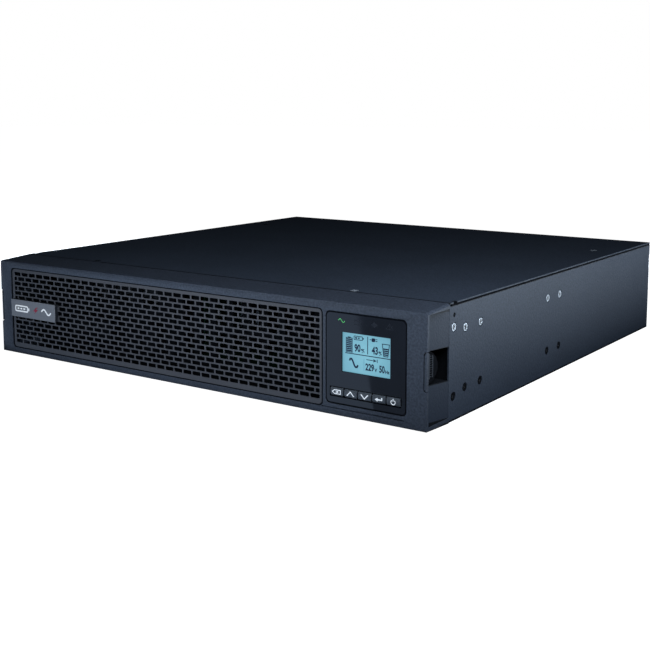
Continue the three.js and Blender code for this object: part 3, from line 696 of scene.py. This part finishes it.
window_mark("mark_mains", [stroke(wave(-22.6, -17.2, -1.2, 1.2), 0.5)], "green")
window_mark("mark_battery", [stroke(bar(-9.2, -3.8, -1.4, 1.2), 0.45, True), [bar(-8.4, -7.2, 1.5, 2.1)],
                             [bar(-5.8, -4.6, 1.5, 2.1)]], "unlit")
window_mark("mark_bypass", [[[(4.6, -0.25), (7.4, -2.1), (10.2, -0.25), (7.4, 1.8)]]], "unlit")
window_mark("mark_fault", [stroke([(17, -1.9), (22.6, -1.9), (19.8, 2.1)], 0.5, True),
                           [bar(19.55, 20.05, -1.0, 0.7)]], "unlit")

# ---- display contents: bars, dividers, plain symbols and figures ----
SCREEN_Y = local_box("display_screen")[2]
INK = 0.06


def screen_shapes():
    shapes = [[bar(153.3, 157.7, 48.9 + i * 1.35, 49.95 + i * 1.35)] for i in range(7)]
    shapes += [stroke(bar(152.9, 158.1, 48.4, 58.6), 0.5, True), [bar(154.3, 156.7, 58.5, 59.4)],
               stroke([(183.0, 57.5), (184.2, 48.9), (187.6, 48.9), (188.8, 57.5)], 0.55, True)]
    for i in range(4):
        z, reach = 49.6 + i * 1.35, 1.5 + i * 0.17
        shapes.append([[(185.9 - reach, z), (185.9 + reach, z), (185.95 + reach + 0.08, z + 0.95),
                        (185.85 - reach - 0.08, z + 0.95)]])
    return shapes + [
        [bar(170.7, 171.3, 48.6, 61.2)], [bar(152.2, 189.6, 47.15, 47.75)],
        stroke([(155.9, 42.2), (156.4, 43.6), (157.5, 43.8), (158.3, 42.8), (160.1, 39.0), (160.9, 38.1),
                (162.1, 38.2), (162.9, 39.8)], 1.3),
        stroke(soft_bar(159.6, 166.6, 57.9, 60.4, 0.4, 2), 0.5, True), [bar(167.0, 167.7, 58.6, 59.8)],
        [bar(160.5, 162.2, 58.6, 59.7)], [bar(163.0, 164.2, 58.6, 59.7)],
        [soft_bar(174.2, 177.2, 58.0, 60.6, 0.7, 2)], [bar(177.5, 179.0, 58.4, 58.9)],
        [bar(177.5, 179.0, 59.7, 60.2)], [bar(172.6, 173.9, 59.1, 59.6)],
        [bar(170.0, 175.4, 44.5, 45.0)], [[(175.8, 43.6), (178.4, 44.75), (175.8, 45.9)]],
        [bar(178.7, 179.2, 43.6, 45.9)]]


FIGURES = [("90", 160.0, 165.0, 49.2, 54.8), ("%", 165.6, 168.4, 49.0, 52.0),
           ("43", 174.4, 179.4, 49.2, 54.8), ("%", 179.9, 182.6, 49.0, 52.0),
           ("229", 169.2, 176.3, 36.9, 42.1), ("V", 176.7, 178.9, 36.9, 39.5),
           ("50", 180.6, 185.1, 36.9, 42.1), ("Hz", 185.5, 189.0, 36.9, 39.3)]
INK_AT = at(0, SCREEN_Y - INK, 0)
marks = [slab_mesh(loops, INK) for loops in screen_shapes()]
marks += [text_mesh(*figure, INK, 0.34) for figure in FIGURES]
marks = [placed(mesh, "front", INK_AT) for mesh in marks]
piece_from("display_figures", marks, "ink", DISPLAY)
divider = [bar(167.8, 168.15, 36.2, 45.2)]
drawing("display_divider", [divider], INK, "front", INK_AT, "faint", DISPLAY)


# ---- keys: crowned caps with printed symbols ----
CAP_INSET_X, CAP_INSET_Z = 0.45, 1.2


def grid_rim(grid):
    """The vertices round the edge of a grid, in order."""
    right, left = [line[-1] for line in grid[1:]], [line[0] for line in grid[-2:0:-1]]
    return grid[0] + right + grid[-1][-2::-1] + left


def grid_faces(work, grid):
    for low, high in zip(grid, grid[1:]):
        for i in range(len(low) - 1):
            work.faces.new((low[i], low[i + 1], high[i + 1], high[i]))


def rim_faces(work, first, second):
    """A wall between two loops of vertices."""
    for i in range(len(first)):
        j = (i + 1) % len(first)
        work.faces.new((first[i], first[j], second[j], second[i]))


def crowned_cap(node):
    x0, x1, y0, y1, z0, z1 = local_box(node)
    half_x, half_z = (x1 - x0) / 2 - CAP_INSET_X, (z1 - z0) / 2 - CAP_INSET_Z
    middle_x, middle_z = (x0 + x1) / 2, (z0 + z1) / 2
    columns, rows = 16, 12
    work = bmesh.new()
    grid = []
    for j in range(rows + 1):
        v = 2 * j / rows - 1
        line = []
        for i in range(columns + 1):
            u = 2 * i / columns - 1
            y = y0 + 0.5 * abs(v) ** 2.2 + 0.25 * abs(u) ** 10 + 0.25 * abs(v) ** 10
            line.append(work.verts.new(at(middle_x + u * half_x, y, middle_z + v * half_z)))
        grid.append(line)
    grid_faces(work, grid)
    rim = grid_rim(grid)
    back = [work.verts.new((v.co.x, FRONT_Y + y1 * MM, v.co.z)) for v in rim]
    rim_faces(work, rim, back)
    work.faces.new(back)
    return finished(work, node)


KEY_SYMBOLS = {  # back, up, down, enter and power, drawn about a key's middle
    "escape": [stroke([(-3.6, 0), (-1.8, 1.35), (3.4, 1.35), (3.4, -1.35), (-1.8, -1.35)], 0.55, True)]
              + [stroke([(-0.5, -rise), (1.5, rise)], 0.5) for rise in (0.65, -0.65)],
    "up": [stroke([(-2.9, -1.4), (0, 1.6), (2.9, -1.4)], 0.75)],
    "down": [stroke([(-2.9, 1.4), (0, -1.6), (2.9, 1.4)], 0.75)],
    "enter": [stroke([(-0.9, -0.3), (2.6, -0.3), (2.6, 1.4)], 0.85),
              [[(-3.1, -0.3), (-0.8, 1.1), (-0.8, -1.7)]]],
    "power": [stroke(arc(0, -0.2, 1.7, 130, 410, 22), 0.55), stroke([(0, 0.3), (0, 2.2)], 0.6)],
}
for key, symbol in KEY_SYMBOLS.items():
    node = key + "_button"
    cap = piece_from(key + "_cap", [crowned_cap(node)], "key", BODY_OF[node], 40)
    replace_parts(cap, node)
    symbol, face = moved(symbol, *middle_of(node)), at(0, local_box(node)[2] - 0.03, 0)
    drawing(key + "_symbol", symbol, 0.12, "front", face, "white", BODY_OF[node])

# ---- finger latches: ribs and a pad on the grip, and sheets in the pocket, dull black as painted shade ----
RIB_Z = [35.4 + i * 1.6 for i in range(11)]
RIB_X, RIB_Y, RIB_STRETCH = 213.9, 15.4, 1.9
GRIP_TURN = -3.27
GRIP_FACE_X, SHADE_PAD_LIFT = 213.4 - 6.5 / 17.5, 0.12  # the line of the grip's sloping face meets y 0 there
GRIP_SHADE_PAD = [(11, 31.1), (12, 31.1), (17.5, 33.1), (21.5, 36.6), (23.5, 40.6), (23.5, 44.9), (21.5, 48.9),
            (17.5, 52.4), (12, 54.4), (11, 54.4), (11, 53.2), (18.2, 50.6), (18.2, 35.6), (11, 34.0)]
SHADE_SHEET_THICK = 0.07
POCKET_FLOOR = [(204.9, 4.6), (212.2, 4.6), (217.4, 30.9), (204.9, 30.9)]
POCKET_Z0, POCKET_Z1 = 30.78, 54.79
SHELF, SHELF_Z = [(213.3, 3.2), (219.15, 3.2), (219.15, 30.6)], 3.98


def grip_rib(z, sign):
    rib = revolve([(0, -0.55), (0.5, -0.55), (0.8, 0), (0.5, 0.55), (0, 0.55)], 8)
    rib.transform(Matrix.Diagonal((1, RIB_STRETCH, 1, 1)))
    rib.transform(Matrix.Rotation(math.radians(GRIP_TURN * sign), 4, "Z"))
    rib.transform(Matrix.Translation(at(sign * RIB_X, RIB_Y, z)))
    return rib


def grip_shade_pad():
    pad = slab_mesh([GRIP_SHADE_PAD], 0.3)
    pad.transform(FACING["right"].to_4x4())
    tilt = Matrix.Rotation(math.radians(GRIP_TURN), 4, "Z")
    tilt.translation = at(GRIP_FACE_X + SHADE_PAD_LIFT, 0, 0)
    pad.transform(tilt)
    return pad


def pocket_shade_sheets():
    """Sheets of painted shade on the floor, ceiling and back of the right finger pocket, and on the shelf
    below it.
    """
    levels = [at(0, 0, z) for z in (POCKET_Z0, POCKET_Z1)]
    sheets = [placed(slab_mesh([POCKET_FLOOR], SHADE_SHEET_THICK), "top", level) for level in levels]
    back = slab_mesh([bar(4.6, 30.9, 30.8, 54.7)], SHADE_SHEET_THICK)
    shelf = placed(slab_mesh([SHELF], 0.06), "top", at(0, 0, SHELF_Z))
    return sheets + [placed(back, "right", at(205, 0, 0)), shelf]


for side, sign in SIDES:
    latch_body = BODY_OF[f"finger_latch_{side}"]
    ribs = [grip_rib(z, sign) for z in RIB_Z]
    piece_from(f"latch_ribs_{side}", ribs, "inner", latch_body, 50)
    piece_from(f"latch_shade_pad_{side}", [mirrored(grip_shade_pad(), sign)], "inner", latch_body)
    pocket_shade = [mirrored(mesh, sign) for mesh in pocket_shade_sheets()]
    piece_from(f"pocket_shade_sheets_{side}", pocket_shade, "inner", BEZEL)

# ---- sheets of painted shade on the case sides: cover joint, slit and lower edge ----
_, SIDE_X, _, _, _, PAN_TOP = local_box("chassis_pan")
SIDE_SHEETS = (  # name, outline over y and z, thickness, depth of its face in the side
    ("cover_gap_shade", bar(34.5, 442.8, PAN_TOP + 0.02, 84.15), 0.7, 0.15),
    ("slit_shade", disc(38.5, 76.2, 1.75), 0.5, 0.3),
    ("foot_shade", bar(31.5, 442.8, 0.1, 1.3), 0.05, -0.07),
)
for side, sign in SIDES:
    for name, outline, thick, deep in SIDE_SHEETS:
        sheet = placed(slab_mesh([outline], thick), "right", at(SIDE_X - deep, 0, 0))
        piece_from(f"{name}_{side}", [mirrored(sheet, sign)], "inner", CASE)

# ---- side, cover and rear screws ----
RAIL_Y = (55.5, 79, 198.2, 222.2)
UPPER = [(38.2, 67.5)] + [(y, 64.75) for y in RAIL_Y]
LOWER = [(38.2, 17.75)] + [(y, 21) for y in RAIL_Y]
PAN_HEAD = 1.2


def screws(name, places, facing, radius, bright, dull, head=0.55):
    """A group of screws as three pieces; returns them, rims first."""
    groups = ([], [], [])
    for i, place in enumerate(places):
        for group, mesh in zip(groups, screw_meshes(radius, 20 + 37 * i, head)):
            group.append(placed(mesh, facing, place))
    # The shanks are black as painted shade at the bottom of the cross.
    endings = (("rims", bright), ("crosses", dull), ("shanks", "black"))
    return [piece_from(f"{name}_{ending}", group, look, CASE)
            for group, (ending, look) in zip(groups, endings)]


for side, sign in SIDES:
    x = sign * (SIDE_X - 0.1)
    screws(f"side_screws_upper_{side}", [at(x, y, z) for y, z in UPPER], side, 2.95, "zinc", "steel")
    # The lower side screws are all dull black: painted shade, where the upper ones are lit zinc.
    screws(f"side_screws_lower_{side}", [at(x, y, z) for y, z in LOWER], side, 2.9, "inner", "inner")
for end in ("front", "rear"):
    for side, bright, dull in (("left", "dark_steel", "inner"), ("right", "pale_zinc", "pale_zinc")):
        node = f"cover_screw_{end}_{side}"
        x0, x1, y0, y1, _, z1 = local_box(node)
        place = at((x0 + x1) / 2, (y0 + y1) / 2, z1)
        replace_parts(screws(node + "_head", [place], "top", 3.2, bright, dull)[0], node)


# ---- rear panel and what shows in it ----
def grown(node, grow):
    x0, x1, _, _, z0, z1 = local_box(node)
    return soft_bar(x0 - grow, x1 + grow, z0 - grow, z1 + grow, 0.5)


PX0, PX1, PY0, PY1, PZ0, PZ1 = local_box("rear_panel")
LIP_X, LIP_Z = 216.0, 72.7
FANS = {which: middle_of("fan_frame_" + which) for which in ("inner", "outer")}
FAN_BORE, FAN_HALF = 28.5, 30.0
BREAKER_AT = middle_of("breaker_button")
REAR_SCREWS = [(-212, 44), (-112.5, 44), (-207, 76), (-113, 76), (90, 8), (60, 78), (-30, 78)]
PANEL = [(PX0, PZ0), (PX1, PZ0), (PX1, LIP_Z), (LIP_X, LIP_Z), (LIP_X, PZ1), (-LIP_X, PZ1),
         (-LIP_X, LIP_Z), (PX0, LIP_Z)]
OPENINGS = {0.3: "usb_port serial_port shutdown_terminal network_ports battery_port power_inlet",
            -2: "outlet_bank_lower outlet_bank_upper", -4: "slot_cover"}
openings = [grown(node, grow) for grow, names in OPENINGS.items() for node in names.split()]
openings += [disc(*BREAKER_AT, 6, 32)] + [disc(*place, FAN_BORE, 72) for place in FANS.values()]
openings += [disc(x, z, 1.9, 16) for x, z in REAR_SCREWS]
sheet = drawing("rear_sheet", [[PANEL] + openings], PY1 - PY0, "front", at(0, PY0, 0), "paint", CASE,
                0.1)
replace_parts(sheet, "rear_panel")
places = [at(x, PY1 + PAN_HEAD, z) for x, z in REAR_SCREWS]
screws("rear_screws", places, "back", 2.9, "zinc", "steel", PAN_HEAD)
x, z = middle_of("slot_cover")
places = [at(x + dx, local_box("slot_cover")[3] + PAN_HEAD, z) for dx in (-40, 40)]
screws("slot_screws", places, "back", 2.9, "zinc", "steel", PAN_HEAD)


def box_mesh(x, z, width, height, y0, y1):
    """A bar along y with its middle at x, z."""
    work = bmesh.new()
    bmesh.ops.create_cube(work, size=1.0)
    mesh = finished(work, "box")
    fit = Matrix.Diagonal((width * MM, (y1 - y0) * MM, height * MM, 1))
    fit.translation = at(x, (y0 + y1) / 2, z)
    mesh.transform(fit)
    return mesh


OUTLETS = [(x + dx, dz) for x in (-24, 6, 36, 66) for dx, dz in ((-7, -1), (7, -1), (0, 2))]
for row in ("lower", "upper"):
    z = middle_of("outlet_bank_" + row)[1]
    blades = [box_mesh(x, z + dz, 1.6, 3.8, 428, 434) for x, dz in OUTLETS]
    piece_from(f"outlet_contacts_{row}", blades, "contact", CASE)
x, z = middle_of("power_inlet")
pins = [box_mesh(x + dx, z + dz, 2.3, 4.3, 425, 439.2) for dx, dz in ((-7, -1), (7, -1), (0, 3))]
piece_from("inlet_pins", pins, "contact", CASE)
x, z = middle_of("network_ports")
springs = [box_mesh(x + port + i * 1.02 - 3.575, z + 3.2, 0.35, 0.4, 429, 437)
           for port in (-7.2, 7.2) for i in range(8)]
piece_from("network_contacts", springs, "contact", CASE)
x, z = middle_of("battery_port")
poles = [box_mesh(x + dx, z - 0.4, 9, 2, 429, 436) for dx in (-9, 9)]
piece_from("battery_poles", poles, "steel", CASE)

# ---- serial port: flange, tapered shell, insert with nine holes, two posts ----
DX0, DX1, DY0, DY1, DZ0, DZ1 = local_box("serial_port")
PLUG_X, PLUG_Z = middle_of("serial_port")
FLANGE_Y, SHELL_Y = 439.6, 438
TAPERED = [(PLUG_X + dx, PLUG_Z + dz) for dx, dz in ((-8.2, 3.7), (-7.0, -3.7), (7.0, -3.7), (8.2, 3.7))]
flange = slab_mesh([soft_bar(DX0, DX1, DZ0, DZ1, 1.2)], FLANGE_Y - DY0, 0.2)
shell = slab_mesh(stroke(TAPERED, 0.5, True), DY1 - SHELL_Y)
meshes = [placed(mesh, "front", at(0, y, 0)) for mesh, y in ((flange, DY0), (shell, SHELL_Y))]
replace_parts(piece_from("serial_shell", meshes, "zinc", CASE), "serial_port")
sockets = [disc(PLUG_X + (i - 2) * 2.77, PLUG_Z + 1.4, 0.6, 12) for i in range(5)]
sockets += [disc(PLUG_X + (i - 1.5) * 2.77, PLUG_Z - 1.4, 0.6, 12) for i in range(4)]
core = [(x + (0.5 if x < PLUG_X else -0.5), z + (0.4 if z < PLUG_Z else -0.4)) for x, z in TAPERED]
drawing("serial_core", [[core] + sockets], 2.4, "front", at(0, FLANGE_Y + 0.1, 0), "black", CASE)
posts = [[disc(PLUG_X + dx, PLUG_Z, 2.7, 6), disc(PLUG_X + dx, PLUG_Z, 1.3, 16)] for dx in (-12.4, 12.4)]
drawing("serial_posts", posts, 3.3, "front", at(0, FLANGE_Y, 0), "steel", CASE, 0.15)

cap_x0, cap_x1, cap_y0, cap_y1, _, _ = local_box("breaker_button")
reach, depth = (cap_x1 - cap_x0) / 2, cap_y0 - cap_y1
dome = [(0, 0), (reach - 0.9, -0.08), (reach - 0.25, -0.35), (reach, -0.9), (reach, depth), (0, depth)]
cap = placed(revolve(dome, 40), "back", at(BREAKER_AT[0], cap_y1, BREAKER_AT[1]))
button = piece_from("breaker_cap", [cap], "signal", BODY_OF["breaker_button"], 50)
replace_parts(button, "breaker_button")


# ---- fans: square frame with a round bore, swept blades, wire guard ----
FAN_PLATE, FAN_CORNER, HUB_R, GUARD_REACH = 4, 25, 12, 33.4
CORNERS = [(sx * FAN_CORNER, sz * FAN_CORNER) for sx in (-1, 1) for sz in (-1, 1)]


def wire_mesh(points, radius, closed=False):
    curve = bpy.data.curves.new("wire", "CURVE")
    curve.dimensions = "3D"
    curve.bevel_depth = radius * MM
    curve.bevel_resolution = 2
    curve.use_fill_caps = True
    spline = curve.splines.new("POLY")
    spline.points.add(len(points) - 1)
    for point, place in zip(spline.points, points):
        point.co = (*at(*place), 1)
    spline.use_cyclic_u = closed
    return baked(curve)


def blade_mesh(cx, cz, middle_y, start):
    """One fan blade: a thin plate from hub to bore, swept back and flattening towards its tip."""
    along, across, half = 7, 6, 0.55
    work = bmesh.new()
    grids = []
    for side_y in (-half, half):
        grid = []
        for i in range(along + 1):
            u = i / along
            r = 11.6 + u * 16.0
            line = []
            for j in range(across + 1):
                v = 2 * j / across - 1
                turn = start + 0.5 * u * u + v * (0.48 - 0.03 * u)
                y = middle_y + v * (6.0 - 1.5 * u) + 0.8 * v * v + side_y
                x, z = ray(cx, cz, r, turn)
                line.append(work.verts.new(at(x, y, z)))
            grid.append(line)
        grid_faces(work, grid)
        grids.append(grid)
    rim_faces(work, *[grid_rim(grid) for grid in grids])
    return finished(work, "blade")


def fan_frame(which, cx, cz):
    node = "fan_frame_" + which
    y0, y1 = local_box(node)[2:4]
    square = soft_bar(cx - FAN_HALF, cx + FAN_HALF, cz - FAN_HALF, cz + FAN_HALF, 3, 5)
    bore = disc(cx, cz, FAN_BORE, 72)
    plate = [square, bore] + [disc(cx + dx, cz + dz, 2.2, 16) for dx, dz in CORNERS]
    parts = [(plate, FAN_PLATE, 0.2, y0), (plate, FAN_PLATE, 0.2, y1 - FAN_PLATE),
             ([disc(cx, cz, 29.8, 72), bore], y1 - y0 - 7.8, 0.0, y0 + 3.9),
             ([disc(cx, cz, HUB_R, 40)], 3, 0.2, y0)]
    for i in range(3):
        ends = [ray(cx, cz, r, i * 2 * math.pi / 3 + 0.4) for r in (11, 29)]
        parts.append((stroke(ends, 4), 3, 0.2, y0))
    meshes = [placed(slab_mesh(*part), "front", at(0, y, 0)) for *part, y in parts]
    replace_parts(piece_from(f"fan_body_{which}", meshes, "black", CASE), node)


def fan_rotor(which, cx, cz):
    node = "fan_rotor_" + which
    y0, y1 = local_box(node)[2:4]
    hub = revolve([(0, 0), (10.6, 0), (11.6, -0.4), (HUB_R, -1.4), (HUB_R, y0 - y1), (0, y0 - y1)], 48)
    blade_y = local_box("fan_frame_" + which)[2] + 12
    meshes = [placed(hub, "back", at(cx, y1, cz))]
    meshes += [blade_mesh(cx, cz, blade_y, i * 2 * math.pi / 7) for i in range(7)]
    blades = piece_from(f"fan_blades_{which}", meshes, "black", BODY_OF[node], 35)
    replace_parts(blades, node)


def fan_guard(which, cx, cz):
    node = "fan_guard_" + which
    y0, y1 = local_box(node)[2:4]
    meshes = [wire_mesh([(x, y0 + 0.7, z) for x, z in disc(cx, cz, r, 48)], 0.7, True)
              for r in (8, 13.6, 19.3, 25)]
    for turn in (45, 135):
        ends = [ray(cx, cz, reach, math.radians(turn)) for reach in (-GUARD_REACH, GUARD_REACH)]
        meshes.append(wire_mesh([(x, y1 - 0.6, z) for x, z in ends], 0.6))
    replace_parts(piece_from(f"fan_wires_{which}", meshes, "zinc", CASE, 40), node)


for which, (cx, cz) in FANS.items():
    fan_frame(which, cx, cz)
    fan_rotor(which, cx, cz)
    fan_guard(which, cx, cz)
    places = [at(cx + dx, PY1 + 2.6, cz + dz) for dx, dz in CORNERS]
    screws(f"fan_screws_{which}", places, "back", 2.8, "zinc", "steel", 2.6)


# ---- battery pack and power parts ----
for i in range(1, 4):
    bx0, bx1, by0, by1, bz0, bz1 = local_box(f"battery_{i}")
    middle = (bx0 + bx1) / 2
    vents = [disc(middle - 50 + 20 * k, by0 + 30, 4, 20) for k in range(6)]
    drawing(f"battery_lid_{i}", [[soft_bar(bx0 + 3, bx1 - 3, by0 + 9, by1 - 4, 3)] + vents], 0.5, "top",
            at(0, 0, bz1 + 0.2), "lid", DRAWER)
    tabs = [[soft_bar(x - 3.2, x + 3.2, by0 - 0.1, by0 + 5.1, 0.8), disc(x, by0 + 2.4, 1.3, 16)]
            for x in (middle - 62, middle + 62)]
    drawing(f"battery_tabs_{i}", tabs, 2.3, "top", at(0, 0, bz0 + 50.15), "steel", DRAWER)

CX0, CX1, CY0, CY1, CZ0, CZ1 = local_box("capacitor_bank")
CAN_X, CAN_TOP, CAN_R = (CX0 + CX1) / 2, CZ1 - CZ0, 15
CAN = [(0, CAN_TOP - 0.6), (13.4, CAN_TOP - 0.6), (13.6, CAN_TOP), (14.5, CAN_TOP), (CAN_R, CAN_TOP - 1),
       (CAN_R, 4), (14.4, 3), (CAN_R, 2), (CAN_R, 1), (0, 1)]
cans, can_tops = [placed(slab_mesh([bar(CX0, CX1, CY0, CY1)], 1.6), "top", at(0, 0, CZ0 + 1.6))], []
for y in (CY0 + 16 + i * 36 for i in range(4)):
    cans.append(placed(revolve(CAN, 48), "top", at(CAN_X, y, CZ0)))
    top = slab_mesh([disc(0, 0, 13.3, 48), cross(9, 0.35)], 0.6, 0.1)
    can_tops.append(placed(top, "top", at(CAN_X, y, CZ1 - 0.2)))
bank = piece_from("capacitor_cans", cans, "sleeve", CASE, 40)
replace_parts(bank, "capacitor_bank")
piece_from("capacitor_tops", can_tops, "aluminium", CASE)

COIL_R, WIRE_RING, CORE_RING, TURNS, STEPS_A_TURN = 20, 7.1, 6.2, 44, 12
for place in ("front", "rear"):
    node = "choke_coil_" + place
    x0, x1, y0, y1, z0, z1 = local_box(node)
    cx, cy, cz = (x0 + x1) / 2, (y0 + y1) / 2, (z0 + z1) / 2
    coil = []
    for k in range(TURNS * STEPS_A_TURN):
        around, small = 2 * math.pi * k / (TURNS * STEPS_A_TURN), 2 * math.pi * k / STEPS_A_TURN
        r, z = ray(COIL_R, cz, WIRE_RING, small)
        coil.append((*ray(cx, cy, r, around), z))
    wire = wire_mesh(coil, 0.85, True)
    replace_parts(piece_from(f"choke_winding_{place}", [wire], "copper", CASE, 60), node)
    section = [ray(COIL_R, 0, CORE_RING, 2 * math.pi * k / 16) for k in range(17)]
    ring = placed(revolve(section, 48), "top", at(cx, cy, cz))
    piece_from(f"choke_core_{place}", [ring], "ferrite", CASE, 60)


# ---- camera, light and floor ----
optics = bpy.data.cameras.new("camera")
optics.lens = 60.796
optics.sensor_width = 36
optics.shift_y = -0.12
optics.clip_start = 0.02
camera = linked("camera", optics)
camera.location = (0.578131, -0.848972, 0.222030)
camera.rotation_euler = (math.radians(90 - 7.4323), 0, math.radians(35.126))
bpy.context.scene.camera = camera

UP = (0, 0, 1)
COOL = (0.75, 0.87, 1.0)
LIGHTS = (  # name, centre, direction, size, radiance, shown in reflections
    ("floor_panel_right", (0.92, 0.32, 0.002), UP, (1.0, 0.66), 6.4, True),
    ("floor_panel_left", (-0.87, 0.15, 0.002), UP, (0.9, 0.7), 4.0, True),
    ("floor_panel_back", (0, 0.87, 0.002), UP, (0.9, 0.9), 4.0, False),
    ("floor_panel_front", (0.11, -0.54, 0.002), UP, (0.3, 0.36), 2.6, False),
    ("front_box", (-0.01, -0.46, 0.135), (0.14, 1, -0.14), (0.2, 0.14), 5.1, False),
    ("top_box", (0.42, -0.34, 0.35), (-0.42, 0.3, -0.55), (0.3, 0.25), 8.0, True),
    ("right_box", (1.6, 0.16, 0.35), (-1, -0.05, -0.15), (1.3, 0.6), 2.1, False),
    ("back_box", (-0.15, 0.75, 0.045), (0, -1, 0), (0.7, 0.07), 14.0, True),
    ("left_box", (-0.80, 0.12, 0.045), (1, 0, 0), (0.6, 0.07), 8.0, True),
)


def panel_light(name, centre, direction, size, radiance, glossy):
    """A soft box of that radiance: its power follows from its area."""
    data = bpy.data.lights.new(name, "AREA")
    data.shape = "RECTANGLE"
    data.size, data.size_y = size
    data.energy = radiance * math.pi * size[0] * size[1]
    data.color = COOL
    light = linked(name, data)
    light.location = centre
    light.rotation_mode = "QUATERNION"
    light.rotation_quaternion = Vector(direction).to_track_quat("-Z", "Y")
    light.visible_camera = False
    light.visible_glossy = glossy


def studio_world():
    """White behind everything the camera sees, and a faint cool fill for the rest."""
    world = bpy.data.worlds.new("studio")
    world.use_nodes = True
    tree = world.node_tree
    faint, white = tree.nodes["Background"], tree.nodes.new("ShaderNodeBackground")
    for node, colour, strength in ((faint, COOL, 0.007), (white, (1, 1, 1), 1.0)):
        fill(node, {"Color": (*colour, 1), "Strength": strength})
    choice = tree.nodes.new("ShaderNodeMixShader")
    path = tree.nodes.new("ShaderNodeLightPath")
    tree.links.new(path.outputs["Is Camera Ray"], choice.inputs["Fac"])
    tree.links.new(faint.outputs["Background"], choice.inputs[1])
    tree.links.new(white.outputs["Background"], choice.inputs[2])
    tree.links.new(choice.outputs["Shader"], tree.nodes["World Output"].inputs["Surface"])
    return world


for light in LIGHTS:
    panel_light(*light)
bpy.context.scene.world = studio_world()


def stage_sheet(name, corners, z, look):
    mesh = bpy.data.meshes.new(name)
    mesh.from_pydata([Vector((x, y, z)) for x, y in corners], [], [tuple(range(len(corners)))])
    mesh.materials.append(look.material)
    piece = linked(name, mesh)
    return piece


floor_look = Look("pale_floor", (0.80, 0.80, 0.80), 0.9).tone(0.01, 3).glow((1, 1, 1), 1.0)
floor = stage_sheet("floor", [(-8, -8), (8, -8), (8, 8), (-8, 8)], -0.0005, floor_look)
floor.visible_diffuse = False
floor.visible_glossy = False


def reflection_card(name, radiance, corners):
    """A sheet lying on the floor that shows only in reflections."""
    card = stage_sheet(name, corners, 0.001, Look(name, (0, 0, 0), 1.0).glow((0.55, 0.72, 1.0), radiance))
    card.visible_camera = False
    card.visible_diffuse = False
    card.visible_shadow = False


CARD_Y0, CARD_Y1 = -0.9, -0.226
SPLIT = [(-0.30, CARD_Y0), (-0.051, -0.547), (-0.014, -0.494), (0.102, -0.330), (0.118, -0.307),
         (0.158, -0.250), (0.175, CARD_Y1)]
reflection_card("card_left", 1.0, [(-0.9, CARD_Y1), (-0.9, CARD_Y0)] + SPLIT)
reflection_card("card_right", 0.35, SPLIT[::-1] + [(0.6, CARD_Y0), (0.6, CARD_Y1)])

bpy.context.scene.view_settings.view_transform = "Standard"
